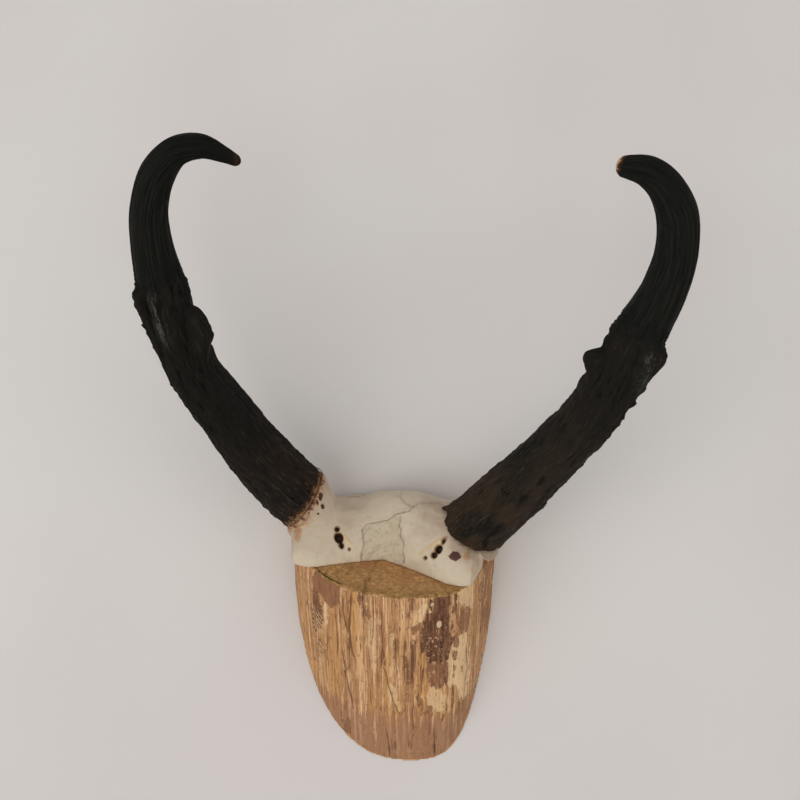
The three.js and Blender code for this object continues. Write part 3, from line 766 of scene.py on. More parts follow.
def turned_level(places, turn):
    """Places turned round the upward direction."""
    cos, sin = math.cos(turn), math.sin(turn)
    x, y, z = places.T
    return np.stack([x * cos - y * sin, x * sin + y * cos, z], axis=1)


def skull_places(points):
    """Points in the skull's own directions, in mm: across, backwards and up off the log's top."""
    return turned_level(log_places(points) / MM - SKULL_PLACE, SKULL_TURN)


def from_skull(places):
    """The reverse: mm in the skull's own directions, back to points of the scene."""
    return MM * from_log(turned_level(places, -SKULL_TURN) + SKULL_PLACE)


def even_out(mesh, points, share):
    """Evens out small bumps over the mesh's edges and keeps the large shape as it is."""
    edges = np.empty(len(mesh.edges) * 2, dtype=np.int64)
    mesh.edges.foreach_get("vertices", edges)
    first, second = edges.reshape(-1, 2).T
    count = np.bincount(edges, minlength=len(points))[:, None]
    for strength in SMOOTHING_STEPS * SMOOTHING_ROUNDS:
        total = np.empty_like(points)
        for axis in range(3):
            total[:, axis] = (
                np.bincount(first, points[second, axis], len(points))
                + np.bincount(second, points[first, axis], len(points)))
        points = points + strength * share[:, None] * (total / count - points)
    return points


def oval(places, middle, wide, tall):
    """0 at an oval's middle and 1 at its edge."""
    return np.hypot((places[:, 0] - middle[0]) / wide, (places[:, 1] - middle[1]) / tall)


def inside_outline(points, outline):
    """Signed distance to a closed outline in a plane, below 0 inside."""
    corners = np.array(outline, dtype=float)
    gap = to_lines(points, [np.vstack([corners, corners[:1]])])
    inside = np.zeros(len(points), dtype=bool)
    for (x0, z0), (x1, z1) in zip(corners, np.roll(corners, -1, axis=0)):
        crosses = (z0 > points[:, 1]) != (z1 > points[:, 1])
        reach = x0 + (points[:, 1] - z0) * (x1 - x0) / (z1 - z0 if z1 != z0 else 1e-9)
        inside ^= crosses & (points[:, 0] < reach)
    return np.where(inside, -gap, gap)


skull_cap = finer_copy("skull_plate", "skull_cap", SKULL_CELL)
points = rows_of(skull_cap.data, "co")
own = skull_places(points)
# How far each place is from the nearest seat's plane; the seats and the flat underside stay sharp.
seat_gap = np.full(len(points), 1e3)
for seat in SEATS.values():
    off_seat = own - seat["middle"]
    near = np.where(np.linalg.norm(off_seat, axis=1) < SEAT_REACH, np.abs(off_seat @ seat["facing"]), 1e3)
    seat_gap = np.minimum(seat_gap, near)
free = soft_step(0.3, 1.6, own[:, 2]) * soft_step(0.2, 1.2, seat_gap)
points = even_out(skull_cap.data, points, free)
move_points(skull_cap.data, points)
normals = rows_of(skull_cap.data, "normal")
facing_out = soft_step(-0.1, 0.3, -normals[:, 1] + 0.4 * normals[:, 2])
own = skull_places(points)
wander = np.stack([value_noise(own / 2.4 + 40, s) - 0.5 for s in (21, 22, 23)], axis=1)
small_wander = np.stack([value_noise(own / 0.9 + 40, s) - 0.5 for s in (24, 25, 26)], axis=1)
front = points[:, [0, 2]] / MM
wavy = front + 1.1 * wander[:, :2] + 0.6 * small_wander[:, :2]
seam_gap = to_lines(wavy, SEAMS)
seam = soft_step(0.62, 0.15, seam_gap) * facing_out
faint = soft_step(0.6, 0.15, to_lines(wavy, FAINT_SEAMS)) * facing_out
coarse_gap = inside_outline(front + 0.8 * wander[:, :2], COARSE_OUTLINE)
coarse = soft_step(0.5, -0.8, coarse_gap) * facing_out
hole = np.full(len(points), -9.0)
hole_depth = np.zeros(len(points))
for (x, z), wide, tall, lean, deep in NERVE_HOLES:
    off_x, off_z = (front + 0.25 * wander[:, :2] - (x, z)).T
    upright = np.stack([
        off_x * math.cos(lean) - off_z * math.sin(lean),
        off_x * math.sin(lean) + off_z * math.cos(lean)], axis=1)
    off = oval(upright, (0, 0), wide, tall)
    hole = np.maximum(hole, np.where(facing_out > 0.5, min(wide, tall) * (1 - off), -9))
    hole_depth = np.maximum(hole_depth, deep * soft_step(1.1, 0.5, off) + 0.25 * soft_step(1.7, 1.0, off))
yellow_gap = to_lines(front + 0.6 * wander[:, :2], YELLOW_RIDGES)
scab_gap = inside_outline(front + 0.9 * wander[:, :2], SCAB_OUTLINE)
scab = soft_step(0.5, -0.6, scab_gap) * facing_out
stain = np.zeros(len(points))
for middle, wide, tall, strong in STAINS:
    off = oval(front, middle, wide, tall) + 0.9 * wander[:, 1]
    stain = np.maximum(stain, strong * soft_step(1.35, 0.3, off))
spot = np.zeros(len(points))
for middle, wide, tall in DARK_SPOTS:
    off = oval(front, middle, wide, tall) + 0.8 * small_wander[:, 0]
    spot = np.maximum(spot, soft_step(1.2, 0.7, off) * facing_out)
crust_reach = np.where(own[:, 0] < 0, *CRUST_REACH)
crust_edge = seat_gap + 3.6 * (value_noise(own / 1.7 + 10, 27) - 0.5)
crust = soft_step(1, 0.1, crust_edge / crust_reach) * np.where(own[:, 0] < 0, *CRUST_STRENGTH)
crust_stain_edge = seat_gap + 6 * (value_noise(own / 4 + 10, 35) - 0.5)
crust_stain = soft_step(1, 0.05, crust_stain_edge / (crust_reach + 3.5))
# The bone under the right sheath narrows at its inner side, so that the sheath's edge laps over it.
facing = SEATS["right"]["facing"]
off_seat = own - SEATS["right"]["middle"]
axial = off_seat @ facing
radial = off_seat - axial[:, None] * facing
narrowing = soft_step(6.5, 1.2, np.abs(axial)) * soft_step(27, 23, np.linalg.norm(off_seat, axis=1))
narrowing *= LAP_DEPTH * soft_step(9, -3, off_seat[:, 0]) / np.maximum(np.linalg.norm(radial, axis=1), 6)
narrowed = from_skull(own - narrowing[:, None] * radial) - from_skull(own)

# The bone's surface in mm outwards: its bumps, seams, coarse patch, ridges, scab, holes and crust.
pits = value_noise(own / 0.9 + 30, 28) * value_noise(own / 2.1 + 30, 29)
folds = np.abs(value_noise(own / np.array([2.6, 2.6, 1.3]) + 60, 34) - 0.5)
relief = 0.5 * (value_noise(own / 8 + 20, 30) - 0.5) + 0.12 * (value_noise(own / 1.6 + 20, 31) - 0.5)
relief += 0.35 * soft_step(2.0, 0.7, seam_gap) * (1 - seam) * facing_out - 0.5 * seam - 0.2 * faint
relief += coarse * (-0.3 - 0.4 * soft_step(0.34, 0.6, pits) + 1.7 * (value_noise(own / 3.6 + 8, 32) - 0.5)
                    + 0.3 * soft_step(0.16, 0.02, folds))
relief += 0.55 * soft_step(1.2, 0.2, yellow_gap) + 0.4 * scab - hole_depth * facing_out
relief += (0.8 * (value_noise(own / 1.1 + 3, 33) - 0.5) + 0.2) * crust
dip = np.exp(-(((front[:, 0] - FOREHEAD_DIP["middle"]) / FOREHEAD_DIP["half"]) ** 2))
relief -= FOREHEAD_DIP["depth"] * dip * soft_step(FOREHEAD_DIP["from"], FOREHEAD_DIP["to"], front[:, 1])
relief *= soft_step(0.1, 1.0, own[:, 2])
move_points(skull_cap.data, points + narrowed + normals * (relief * MM)[:, None])
bpy.ops.object.shade_smooth()
keep_masks(
    skull_cap.data,
    hole=hole, hole_rim=soft_step(-0.7, -0.05, hole), seam=seam, faint=faint, coarse=coarse,
    pit=soft_step(0.32, 0.5, pits) * coarse, scab=scab, stain=stain, spot=spot, crust=crust,
    crust_stain=crust_stain, yellow=soft_step(1.4, 0.3, yellow_gap) * facing_out)

bleached_bone, shade, shader = new_material("bleached_bone", Specular_IOR_Level=0.4)
place = shade.object_places()
mottle = place.mapped((45, 45, 45)).cloud(detail=4, roughness=0.6)
grime = place.mapped((160, 160, 160)).cloud(detail=5, roughness=0.65)
grain = place.mapped((900, 900, 900)).cloud(detail=4, roughness=0.7)
vein = place.mapped((240, 240, 520)).cloud(detail=4, roughness=0.6, distortion=0.8)
coarse_share, crust_share, scab_share = (shade.attribute(name) for name in ("coarse", "crust", "scab"))
crust_clots = crust_share + (grain - 0.5) + (vein - 0.5) * 2.4
bone_colour = shade.plain(tone(196, 181, 159)).layered(
    (tone(178, 160, 137), mottle.within(0.42, 0.66) * 0.85),
    (tone(170, 160, 146), grime.within(0.54, 0.72) * 0.55),
    (tone(184, 170, 147), coarse_share * (0.4 + 0.5 * grime)),
    (tone(146, 130, 106), coarse_share * vein.within(0.56, 0.7) * 0.28),
    # Painted shade: the pits of the coarse bone darker.
    (tone(138, 120, 96), shade.attribute("pit") * 0.3),
    (tone(138, 120, 97), shade.attribute("seam") * (grime * 1.2)),
    (tone(146, 128, 106), shade.attribute("faint") * grime),
    (tone(204, 172, 110), shade.attribute("yellow") * (0.25 + grime * 0.6)),
    (tone(176, 138, 90), shade.attribute("stain").within(0.15, 0.9) * (0.3 + grime)),
    (tone(160, 122, 98), shade.attribute("crust_stain") * (grime * 0.7)),
    (tone(160, 120, 86), (crust_share * (0.3 + grime)).within(0.3, 0.8) * 0.8),
    (tone(78, 42, 26), crust_clots.within(1.0, 1.1) * 0.9),
    (tone(76, 42, 24), (shade.attribute("spot") + (grain - 0.5) * 0.4).within(0.3, 0.7)),
    (tone(98, 64, 54), (scab_share + (grain - 0.5) * 0.6).within(0.3, 0.55)),
    (tone(66, 34, 26), (scab_share * grime).within(0.44, 0.56) * 0.8),
    (tone(142, 98, 52), shade.attribute("hole_rim").within(0.1, 0.9) * 0.7),
    # Painted shade: the nerve holes filled in near black.
    (tone(46, 26, 12), (shade.attribute("hole") + (grain - 0.5) * 0.5).within(-0.05, 0.4)),
)
bone_rough = (0.45 + 0.3 * coarse_share + 0.2 * grime).clamped()
finish_material(shade, shader, bone_colour, bone_rough, [
    (grime * 0.00035 + grain * 0.00008, 0.35),
    (coarse_share * (grain + vein) * 0.0004, 0.6),
])
skull_cap.data.materials.append(bleached_bone)
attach(skull_cap, "root")
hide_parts("skull_plate")


# ---------------------------------------------------------------------------
# The two horns. Each is a sheath of dark keratin: a rough fibrous shaft up to the prong at its front,
# and above that a smooth finely grooved hook. The base ends in a ragged fringe on the bone.

# Each station, from the base to the tip: across, backwards, up, half width, half depth, in mm in the
# skull's own directions. Turns go from the outer side towards the front, in radians.
# A ridge stands out along the sheath: mm up to its lower end, its highest place and its upper end, the
# turn of its lower and upper end, its half width, how far it stands out and how far its top leans
# towards the tip. The groove beside the prong has its lower and upper end, their turns, half width and
# depth; the painted shine on the prong, a painted highlight, has the same without a depth.
# The edge is how far the base stops short of its seat, turn by turn, and below 0 how far it laps over.
# The fray is tufts of stray fibres: their turn, its spread, how long they are and how many.
# Brown shows below "brown_reach" and pale clots below "foot", both in mm from the base. The core is the
# closed lower end, and the ring is the brown band below the tip.
HORNS = {
    "left": {
        "side": -1,
        "stations": [
            (-50, 0.5, 16, 17.4, 21), (-64.5, -1.5, 33.5, 16.6, 20.8), (-76.4, -3, 49.7, 15.5, 20.5),
            (-92.2, -6, 78.5, 12.9, 20), (-106, -9, 105.7, 11.3, 19), (-115.2, -10, 134.5, 11.6, 17.5),
            (-120.4, -9, 160.5, 12.5, 14.5), (-123.9, -6, 182.9, 10.5, 12), (-124.9, -1, 201.1, 9.5, 10.5),
            (-120, 5, 218.4, 8.8, 9.4), (-111, 10, 228.2, 7.3, 7.8), (-99.9, 15, 230, 6.2, 6.4),
            (-89.8, 19, 225, 4.2, 4.4), (-82, 22, 219.8, 2.6, 2.7),
        ],
        "ridges": [
            (132, 160, 166, 1.75, 1.6, 3.6, 2.6, 2.0), (128, 163, 169, 0.9, 0.95, 4.5, 3.2, 1.5),
            (112, 136, 152.5, 2.95, 3.1, 5.6, 8.6, 0.6), (138, 148, 152.8, 3.0, 3.1, 4.4, 1.8, 0.6),
            (126, 131, 134, 3.1, 3.1, 2.4, 1.2, 0.5), (146, 149.5, 150.6, 1.0, 1.0, 1.8, 1.8, 1.5),
            (140, 144.5, 145.6, 0.95, 0.95, 1.8, 1.5, 1.2), (134, 138, 139.2, 1.0, 1.0, 2.2, 1.0, 1.0),
            (165, 171, 174, 1.7, 1.2, 5.0, 1.0, 0.0), (4, 12, 22, 3.1, 3.05, 4.2, 2.8, -0.5),
        ],
        "groove": (130, 164, 1.32, 1.28, 1.3, 1.5),
        "shine": (132, 166, 1.78, 1.62, 2.8),
        "rough_until": 168,
        "edge": [(-3.14, 4.0), (-2.4, 1.5), (-1.2, 0), (0.4, 0), (1.0, 2.0), (1.6, 4.0), (2.0, 3.2),
                 (2.4, 2.8), (2.8, 3.6)],
        "brown": tone(38, 29, 23),
        "brown_reach": (80, 5),
        "foot": (2.4, 0.6),
        "core": tone(182, 154, 120),
        "core_flecks": 0.7,
        "tip": tone(36, 28, 24),
        "tip_ring": 0.4,
        "tip_reach": 7,
        "tip_round": 2.8,
        "fray": [(2.1, 0.35, 1.4, 60), (1.5, 0.3, 1.0, 25), (3.0, 0.4, 1.0, 40), (-2.6, 0.5, 1.0, 25)],
        "seed": 41,
    },
    "right": {
        "side": 1,
        "stations": [
            (46.2, 0.5, 9.7, 17.4, 21), (58.9, -1.5, 28.8, 17.1, 20.8), (70.2, -3, 45.1, 16.4, 20.5),
            (89.5, -6, 75.7, 14.1, 20), (106.2, -9, 105.1, 13.2, 19), (118.3, -10, 132.1, 13, 17.5),
            (126.4, -9, 158.5, 12.9, 14.5), (134.9, -6, 181.2, 11.2, 12), (138.3, -1, 199.6, 10.2, 11),
            (136.2, 5, 215.8, 9.8, 10.2), (129.8, 10, 226.2, 8.6, 9.2), (121.4, 15, 231.4, 7.5, 7.8),
            (113.6, 19, 231.6, 6, 6.2), (106.6, 21.5, 230.8, 4.4, 4.5),
        ],
        "ridges": [
            (134, 162, 174, 0.9, 1.0, 9.0, 4.6, 2.5), (134, 147, 157, 2.95, 3.0, 4.0, 4.6, 0.3),
            (141, 151, 157, 2.95, 3.0, 3.0, 3.8, 0.6),
            (160, 166, 173, 1.7, 2.0, 5.0, 1.4, 0.5), (150, 165, 173.5, 0.5, 0.6, 3.6, 2.4, 1.5),
            (128, 131, 132, 0.75, 0.75, 2.0, 1.8, 1.2), (136, 139.5, 140.6, 0.6, 0.6, 2.2, 1.4, 1.2),
            (143, 147.6, 149, 0.5, 0.5, 2.4, 1.4, 1.2), (118, 121, 122, 0.8, 0.8, 1.8, 1.0, 1.0),
            (166, 170, 173, 1.2, 1.8, 5.0, 0.8, 0.5), (1, 7, 22, 3.1, 3.0, 4.6, 3.4, -1.0),
        ],
        "groove": (138, 168, 1.34, 1.5, 1.2, 1.2),
        "shine": (144, 168, 1.04, 1.15, 2.3),
        "rough_until": 173,
        "edge": [(-3.1, -2.5), (-2.9, -4.2), (-2.5, -4.0), (-1.5, 0), (0.4, 0.5), (1.0, 2.5), (1.6, 3.0),
                 (2.0, 1.0), (2.35, -2.6), (2.65, -3.6), (2.86, -2.0), (2.96, 5.0), (3.06, 3.0)],
        "brown": tone(54, 43, 33),
        "brown_reach": (150, 10),
        "foot": (0.7, 0.1),
        "core": tone(52, 40, 31),
        "core_flecks": 0.1,
        "tip": tone(190, 162, 130),
        "tip_ring": 0.9,
        "tip_reach": 6,
        "tip_round": 3.2,
        "fray": [(2.6, 0.2, 0.5, 6), (1.6, 0.45, 0.7, 7), (-2.5, 0.5, 1.2, 10)],
        "seed": 61,
    },
}
SHEATH_SIDES = 16
# Where the sheath's rings lie, as shares of its length: two at the base, the shaft, the hook, the tip.
SHEATH_RINGS = [0, 0.02, *np.linspace(0.07, 0.58, 9), *np.linspace(0.625, 0.96, 9), 0.985, 1.0]
SHEATH_ROUND = 15.0
SHEATH_LEVELS = 4
SHEATH_FRAMES = 1600
SEAT_HALVINGS = 24
PIT_COUNT = 50
FLAKE_COUNT = 70
FLAKE_TURNS = [0.9, 0.3, 2.9, -2.9]
WRINKLE_STEP = 2.7


def smooth_through(corners, centripetal):
    """A smooth line through corners, sampled at equal steps of its parameter."""
    corners = np.vstack([2 * corners[0] - corners[1], corners, 2 * corners[-1] - corners[-2]])
    spans = len(corners) - 3
    line = []
    for place in np.linspace(0, spans, SHEATH_FRAMES):
        k = min(int(place), spans - 1)
        t = place - k
        a, b, c, d = corners[k:k + 4]
        if centripetal:
            ab, bc, cd = (math.sqrt(np.linalg.norm(q - p)) for p, q in ((a, b), (b, c), (c, d)))
            start = bc * ((b - a) / ab - (c - a) / (ab + bc) + (c - b) / bc)
            end = bc * ((c - b) / bc - (d - b) / (bc + cd) + (d - c) / cd)
        else:
            start, end = 0.5 * (c - a), 0.5 * (d - b)
        squared, cubed = 3 * c - 3 * b - 2 * start - end, 2 * b - 2 * c + start + end
        line.append(b + start * t + squared * t**2 + cubed * t**3)
    return np.array(line)


def sheath_frames(horn):
    """Middles, directions and sizes along a horn: along it, backwards and outwards."""
    stations = np.array(horn["stations"], dtype=float)
    middle = smooth_through(stations[:, :3], centripetal=True)
    sizes = smooth_through(stations[:, 3:], centripetal=False)
    along = np.gradient(middle, axis=0)
    along /= np.linalg.norm(along, axis=1)[:, None]
    back = np.array([0, 1, 0]) - along[:, 1:2] * along
    back /= np.linalg.norm(back, axis=1)[:, None]
    outer = np.cross(back, along) * horn["side"]
    length = np.concatenate([[0], np.cumsum(np.linalg.norm(np.diff(middle, axis=0), axis=1))])
    into_tip = np.clip((length - length[-1] + horn["tip_round"]) / horn["tip_round"], 0, 1)
    sizes *= np.sqrt(np.maximum(1 - into_tip**2, 0.08))[:, None]
    return {"middle": middle, "along": along, "back": back, "outer": outer, "sizes": sizes, "length": length}


def frame_at(frames, length, *keys):
    """A horn's middle, directions or sizes at one length along it."""
    return [np.array([np.interp(length, frames["length"], column) for column in frames[key].T])
            for key in keys]


def sheath_point(frames, length, turn):
    """A point on the plain sheath, at a length along it and a turn from outwards to the front."""
    middle, back, outer, sizes = frame_at(frames, length, "middle", "back", "outer", "sizes")
    return middle + outer * sizes[0] * math.cos(turn) - back * sizes[1] * math.sin(turn)


def seat_length(frames, seat, turn):
    """How far up the sheath a line along its skin passes the seat's plane."""
    low, high = -0.001, 60.0
    for _ in range(SEAT_HALVINGS):
        mid = (low + high) / 2
        if (sheath_point(frames, mid, turn) - seat["middle"]) @ seat["facing"] < 0:
            low = mid
        else:
            high = mid
    return high


def make_sheath(name, frames, seat):
    """The plain sheath: a ring drawn out along the horn's route, then subdivided."""
    total = frames["length"][-1]
    turns = [2 * math.pi * k / SHEATH_SIDES for k in range(SHEATH_SIDES)]
    starts = [max(seat_length(frames, seat, turn), 0.0) for turn in turns]
    rings = []
    for share in SHEATH_RINGS:
        ring = [sheath_point(frames, start + (total - start) * share, turn)
                for start, turn in zip(starts, turns)]
        rings.append([Vector(place) for place in from_skull(np.array(ring))])
    deselect_all()
    bpy.ops.mesh.primitive_circle_add(vertices=SHEATH_SIDES, radius=0.02)
    made = active(name)
    for corner, place in zip(made.data.vertices, rings[0]):
        corner.co = place
    bpy.ops.object.mode_set(mode="EDIT")
    bpy.ops.mesh.select_all(action="SELECT")
    for ring_before, ring in zip(rings, rings[1:]):
        bpy.ops.mesh.extrude_edges_move()
        edit = bmesh.from_edit_mesh(made.data)
        for corner in [v for v in edit.verts if v.select]:
            k = min(range(SHEATH_SIDES), key=lambda i: (corner.co - ring_before[i]).length)
            corner.co = ring[k]
        bmesh.update_edit_mesh(made.data)
    bpy.ops.mesh.edge_face_add()
    bpy.ops.mesh.inset(thickness=0.0003)
    bpy.ops.mesh.select_all(action="DESELECT")
    bpy.ops.mesh.select_non_manifold(extend=False)
    bpy.ops.mesh.edge_face_add()
    bpy.ops.mesh.inset(thickness=0.003)
    bpy.ops.mesh.select_all(action="SELECT")
    bpy.ops.mesh.normals_make_consistent(inside=False)
    bpy.ops.object.mode_set(mode="OBJECT")
    bpy.ops.object.modifier_add(type="SUBSURF")
    finer = made.modifiers[-1]
    finer.levels = SHEATH_LEVELS
    finer.render_levels = SHEATH_LEVELS
    bpy.ops.object.modifier_apply(modifier=finer.name)
    return made


FRAME_STRIDE = 4
POINTS_AT_ONCE = 4000
SEAT_SAMPLES = 65


def nearest_frames(points, frames):
    """The frame nearest to each point."""
    every = np.arange(0, len(frames["length"]), FRAME_STRIDE)
    nearest = np.empty(len(points), dtype=int)
    for start in range(0, len(points), POINTS_AT_ONCE):
        part = points[start:start + POINTS_AT_ONCE]
        gaps = ((part[:, None, :] - frames["middle"][None, every, :]) ** 2).sum(axis=2)
        nearest[start:start + POINTS_AT_ONCE] = every[gaps.argmin(axis=1)]
    return nearest


def edge_lift(horn, turn):
    """How far a sheath's lower edge stops short of its seat."""
    turns, lifts = np.array(horn["edge"]).T
    return np.interp(turn, turns, lifts, period=2 * math.pi)


def aside_of(length, turn, low, high, turn_low, turn_high):
    """How far round a sheath its points are from a line between two places, in mm."""
    return turn_from(turn, np.interp(length, [low, high], [turn_low, turn_high])) * SHEATH_ROUND


def ridge_rise(length, turn, low, peak, high, turn_low, turn_high, half):
    """0 to 1 over one ridge that stands out along a sheath."""
    off = np.abs(aside_of(length, turn, low, high, turn_low, turn_high))
    ends = soft_step(low, peak, length) * soft_step(high, peak, length) ** 0.5
    return ends * soft_step(1.15, 0.2, off / half)


def places_on_sheath(own, frames, seat):
    """Where the plain sheath's points lie on it, and the same points drawn out to its full round.

    Gives the points, the directions along the sheath and away from its middle, the length and the turn
    of each, its distance from the base, and 1 on the outside or 0 on the closed ends.
    """
    total = frames["length"][-1]
    nearest = nearest_frames(own, frames)
    along, back, outer = (frames[key][nearest] for key in ("along", "back", "outer"))
    wide, deep = frames["sizes"][nearest].T
    off = own - frames["middle"][nearest]
    outwards, forwards = (off * outer).sum(axis=1), -(off * back).sum(axis=1)
    length = frames["length"][nearest] + (off * along).sum(axis=1)
    turn = np.arctan2(forwards / deep, outwards / wide)
    share = np.hypot(outwards / wide, forwards / deep)
    seat_turns = np.linspace(-math.pi, math.pi, SEAT_SAMPLES)
    seat_lengths = [seat_length(frames, seat, seat_turn) for seat_turn in seat_turns]
    from_base = length - np.interp(turn, seat_turns, seat_lengths)
    on_skin = np.maximum(
        np.minimum(soft_step(0.4, 1.4, from_base), soft_step(0.02, 0.2, total - length)),
        soft_step(0.86, 0.97, share))
    level = outer * outwards[:, None] - back * forwards[:, None]
    own = own + (on_skin * (1 / np.maximum(share, 0.5) - 1))[:, None] * level
    away = level / np.maximum(np.linalg.norm(level, axis=1), 0.1)[:, None]
    return own, along, away, length, turn, from_base, on_skin


def carve_sheath(made, horn, frames, seat):
    """The sheath's own surface: fibres, pits, flakes, ridges, fine grooves and a ragged base."""
    seed, until, total = horn["seed"], horn["rough_until"], frames["length"][-1]
    own, along, away, length, turn, from_base, on_skin = places_on_sheath(
        skull_places(rows_of(made.data, "co")), frames, seat)

    skin = np.stack([SHEATH_ROUND * np.cos(turn), SHEATH_ROUND * np.sin(turn), length], axis=1) + 300
    sway = value_noise(skin / np.array([9, 9, 14]), seed) - 0.5
    swayed = skin + np.stack([3.4 * sway, -3.4 * sway, np.zeros(len(skin))], axis=1)

    def fibre_noise(broad, long, offset):
        return value_noise(swayed / np.array([broad, broad, long]), seed + offset) - 0.5

    # The rough shaft, with cords and torn places, and the hook with its fine grooves.
    rough = soft_step(until + 4, until - 6, length + 7 * fibre_noise(5, 30, 1))
    shaft = (1.0 * fibre_noise(8, 26, 2) + 0.5 * fibre_noise(2.6, 24, 3) + 0.7 * fibre_noise(1.1, 6, 4)
             + 0.5 * fibre_noise(2.0, 2.6, 5))
    shaft += 0.4 * soft_step(0.16, 0.02, np.abs(fibre_noise(1.4, 15, 14)))
    torn = fibre_noise(1.8, 8, 6)
    shaft += 0.35 * soft_step(0.12, 0.18, torn) - 0.6 * soft_step(-0.22, -0.3, torn)
    fine_grooves = np.exp(-((fibre_noise(1.5, 60, 7) / 0.06) ** 2))
    hook = -0.55 * fine_grooves + 0.5 * fibre_noise(3.0, 34, 8) + 0.18 * fibre_noise(0.9, 9, 9)
    hook *= soft_step(total + 4, total - 22, length)
    relief = rough * shaft + (1 - rough) * hook
    # Wrinkles and lumps where the one turns into the other.
    wrinkle = np.sin((length + 14 * fibre_noise(5, 9, 10)) * 2 * math.pi / WRINKLE_STEP)
    wrinkled = soft_step(until - 11, until - 4, length) * soft_step(until + 11, until + 3, length)
    lumpy = soft_step(until - 22, until - 8, length) * soft_step(until + 6, until - 2, length)
    relief += 0.32 * wrinkle * wrinkled + 1.7 * fibre_noise(2.6, 3.4, 15) * lumpy
    rng = np.random.default_rng(seed)
    for _ in range(PIT_COUNT):
        at, angle = rng.uniform(14, until), rng.uniform(-math.pi, math.pi)
        half, sunk = rng.uniform(0.5, 1.0), rng.uniform(0.2, 0.7)
        off_turn = turn_from(turn, angle) * SHEATH_ROUND
        relief -= sunk * np.exp(-((off_turn / half) ** 2) - ((length - at) / (2.2 * half)) ** 2)
    for _ in range(FLAKE_COUNT):
        at = rng.uniform(10, until - 6)
        angle = rng.choice(FLAKE_TURNS) + rng.normal(0, 0.4)
        tall, half = rng.uniform(0.3, 1.1), rng.uniform(0.8, 2.0)
        relief += tall * ridge_rise(length, turn, at - 8, at, at + 1.2, angle, angle, half)
    # The prong, knobs and fingers, and the groove beside the prong.
    shift = np.zeros(len(own))
    uneven = length + 1.5 * fibre_noise(1.5, 6, 11)
    for *ridge, out, lean in horn["ridges"]:
        rise = ridge_rise(uneven, turn, *ridge)
        relief += out * rise
        shift += lean * rise**2
    low, high, turn_low, turn_high, half, sunk = horn["groove"]
    relief -= sunk * ridge_rise(length, turn, low, (low + high) / 2, high, turn_low, turn_high, half) ** 0.5
    # The ragged lower edge, which flares where it laps over the bone.
    lift = edge_lift(horn, turn)
    ragged = lift + 3.0 * fibre_noise(1.6, 40, 12) + 1.6 * fibre_noise(0.8, 20, 13)
    near_base = soft_step(12, 0.0, from_base)
    relief += (np.interp(lift, [-3, 0], [1.7, -0.3]) + 1.6 * fibre_noise(1.3, 5, 17)) * near_base**2
    shift += ragged * near_base**2
    own = own + away * (relief * on_skin)[:, None] + along * (shift * on_skin)[:, None]
    move_points(made.data, from_skull(own))
    bpy.ops.object.shade_smooth()

    # A painted highlight: where the keratin paints a pale grey shine along the prong, and is less rough.
    low, high, turn_low, turn_high, half = horn["shine"]
    shine = np.exp(-((aside_of(length, turn, low, high, turn_low, turn_high) / half) ** 2))
    shine *= soft_step(low, (low + high) / 2, length) * soft_step(high + 2, high - 3, length)
    to_tip = length - 1.2 + 1.8 * np.cos(turn) * on_skin + 2.0 * fibre_noise(2.5, 5, 16)
    keep_places(made.data, "sheath", skin * MM)
    # The low mask is how high the surface stands; the keratin paints its low places darker, as painted shade.
    keep_masks(
        made.data,
        hook=1 - rough, low=np.clip(relief, -1.5, 1.5) / 3 + 0.5, shine=shine,
        tip=soft_step(total - horn["tip_reach"], total - 1, to_tip),
        from_base=np.clip(from_base, 0, 200), core=(1 - on_skin) * (from_base < 5))


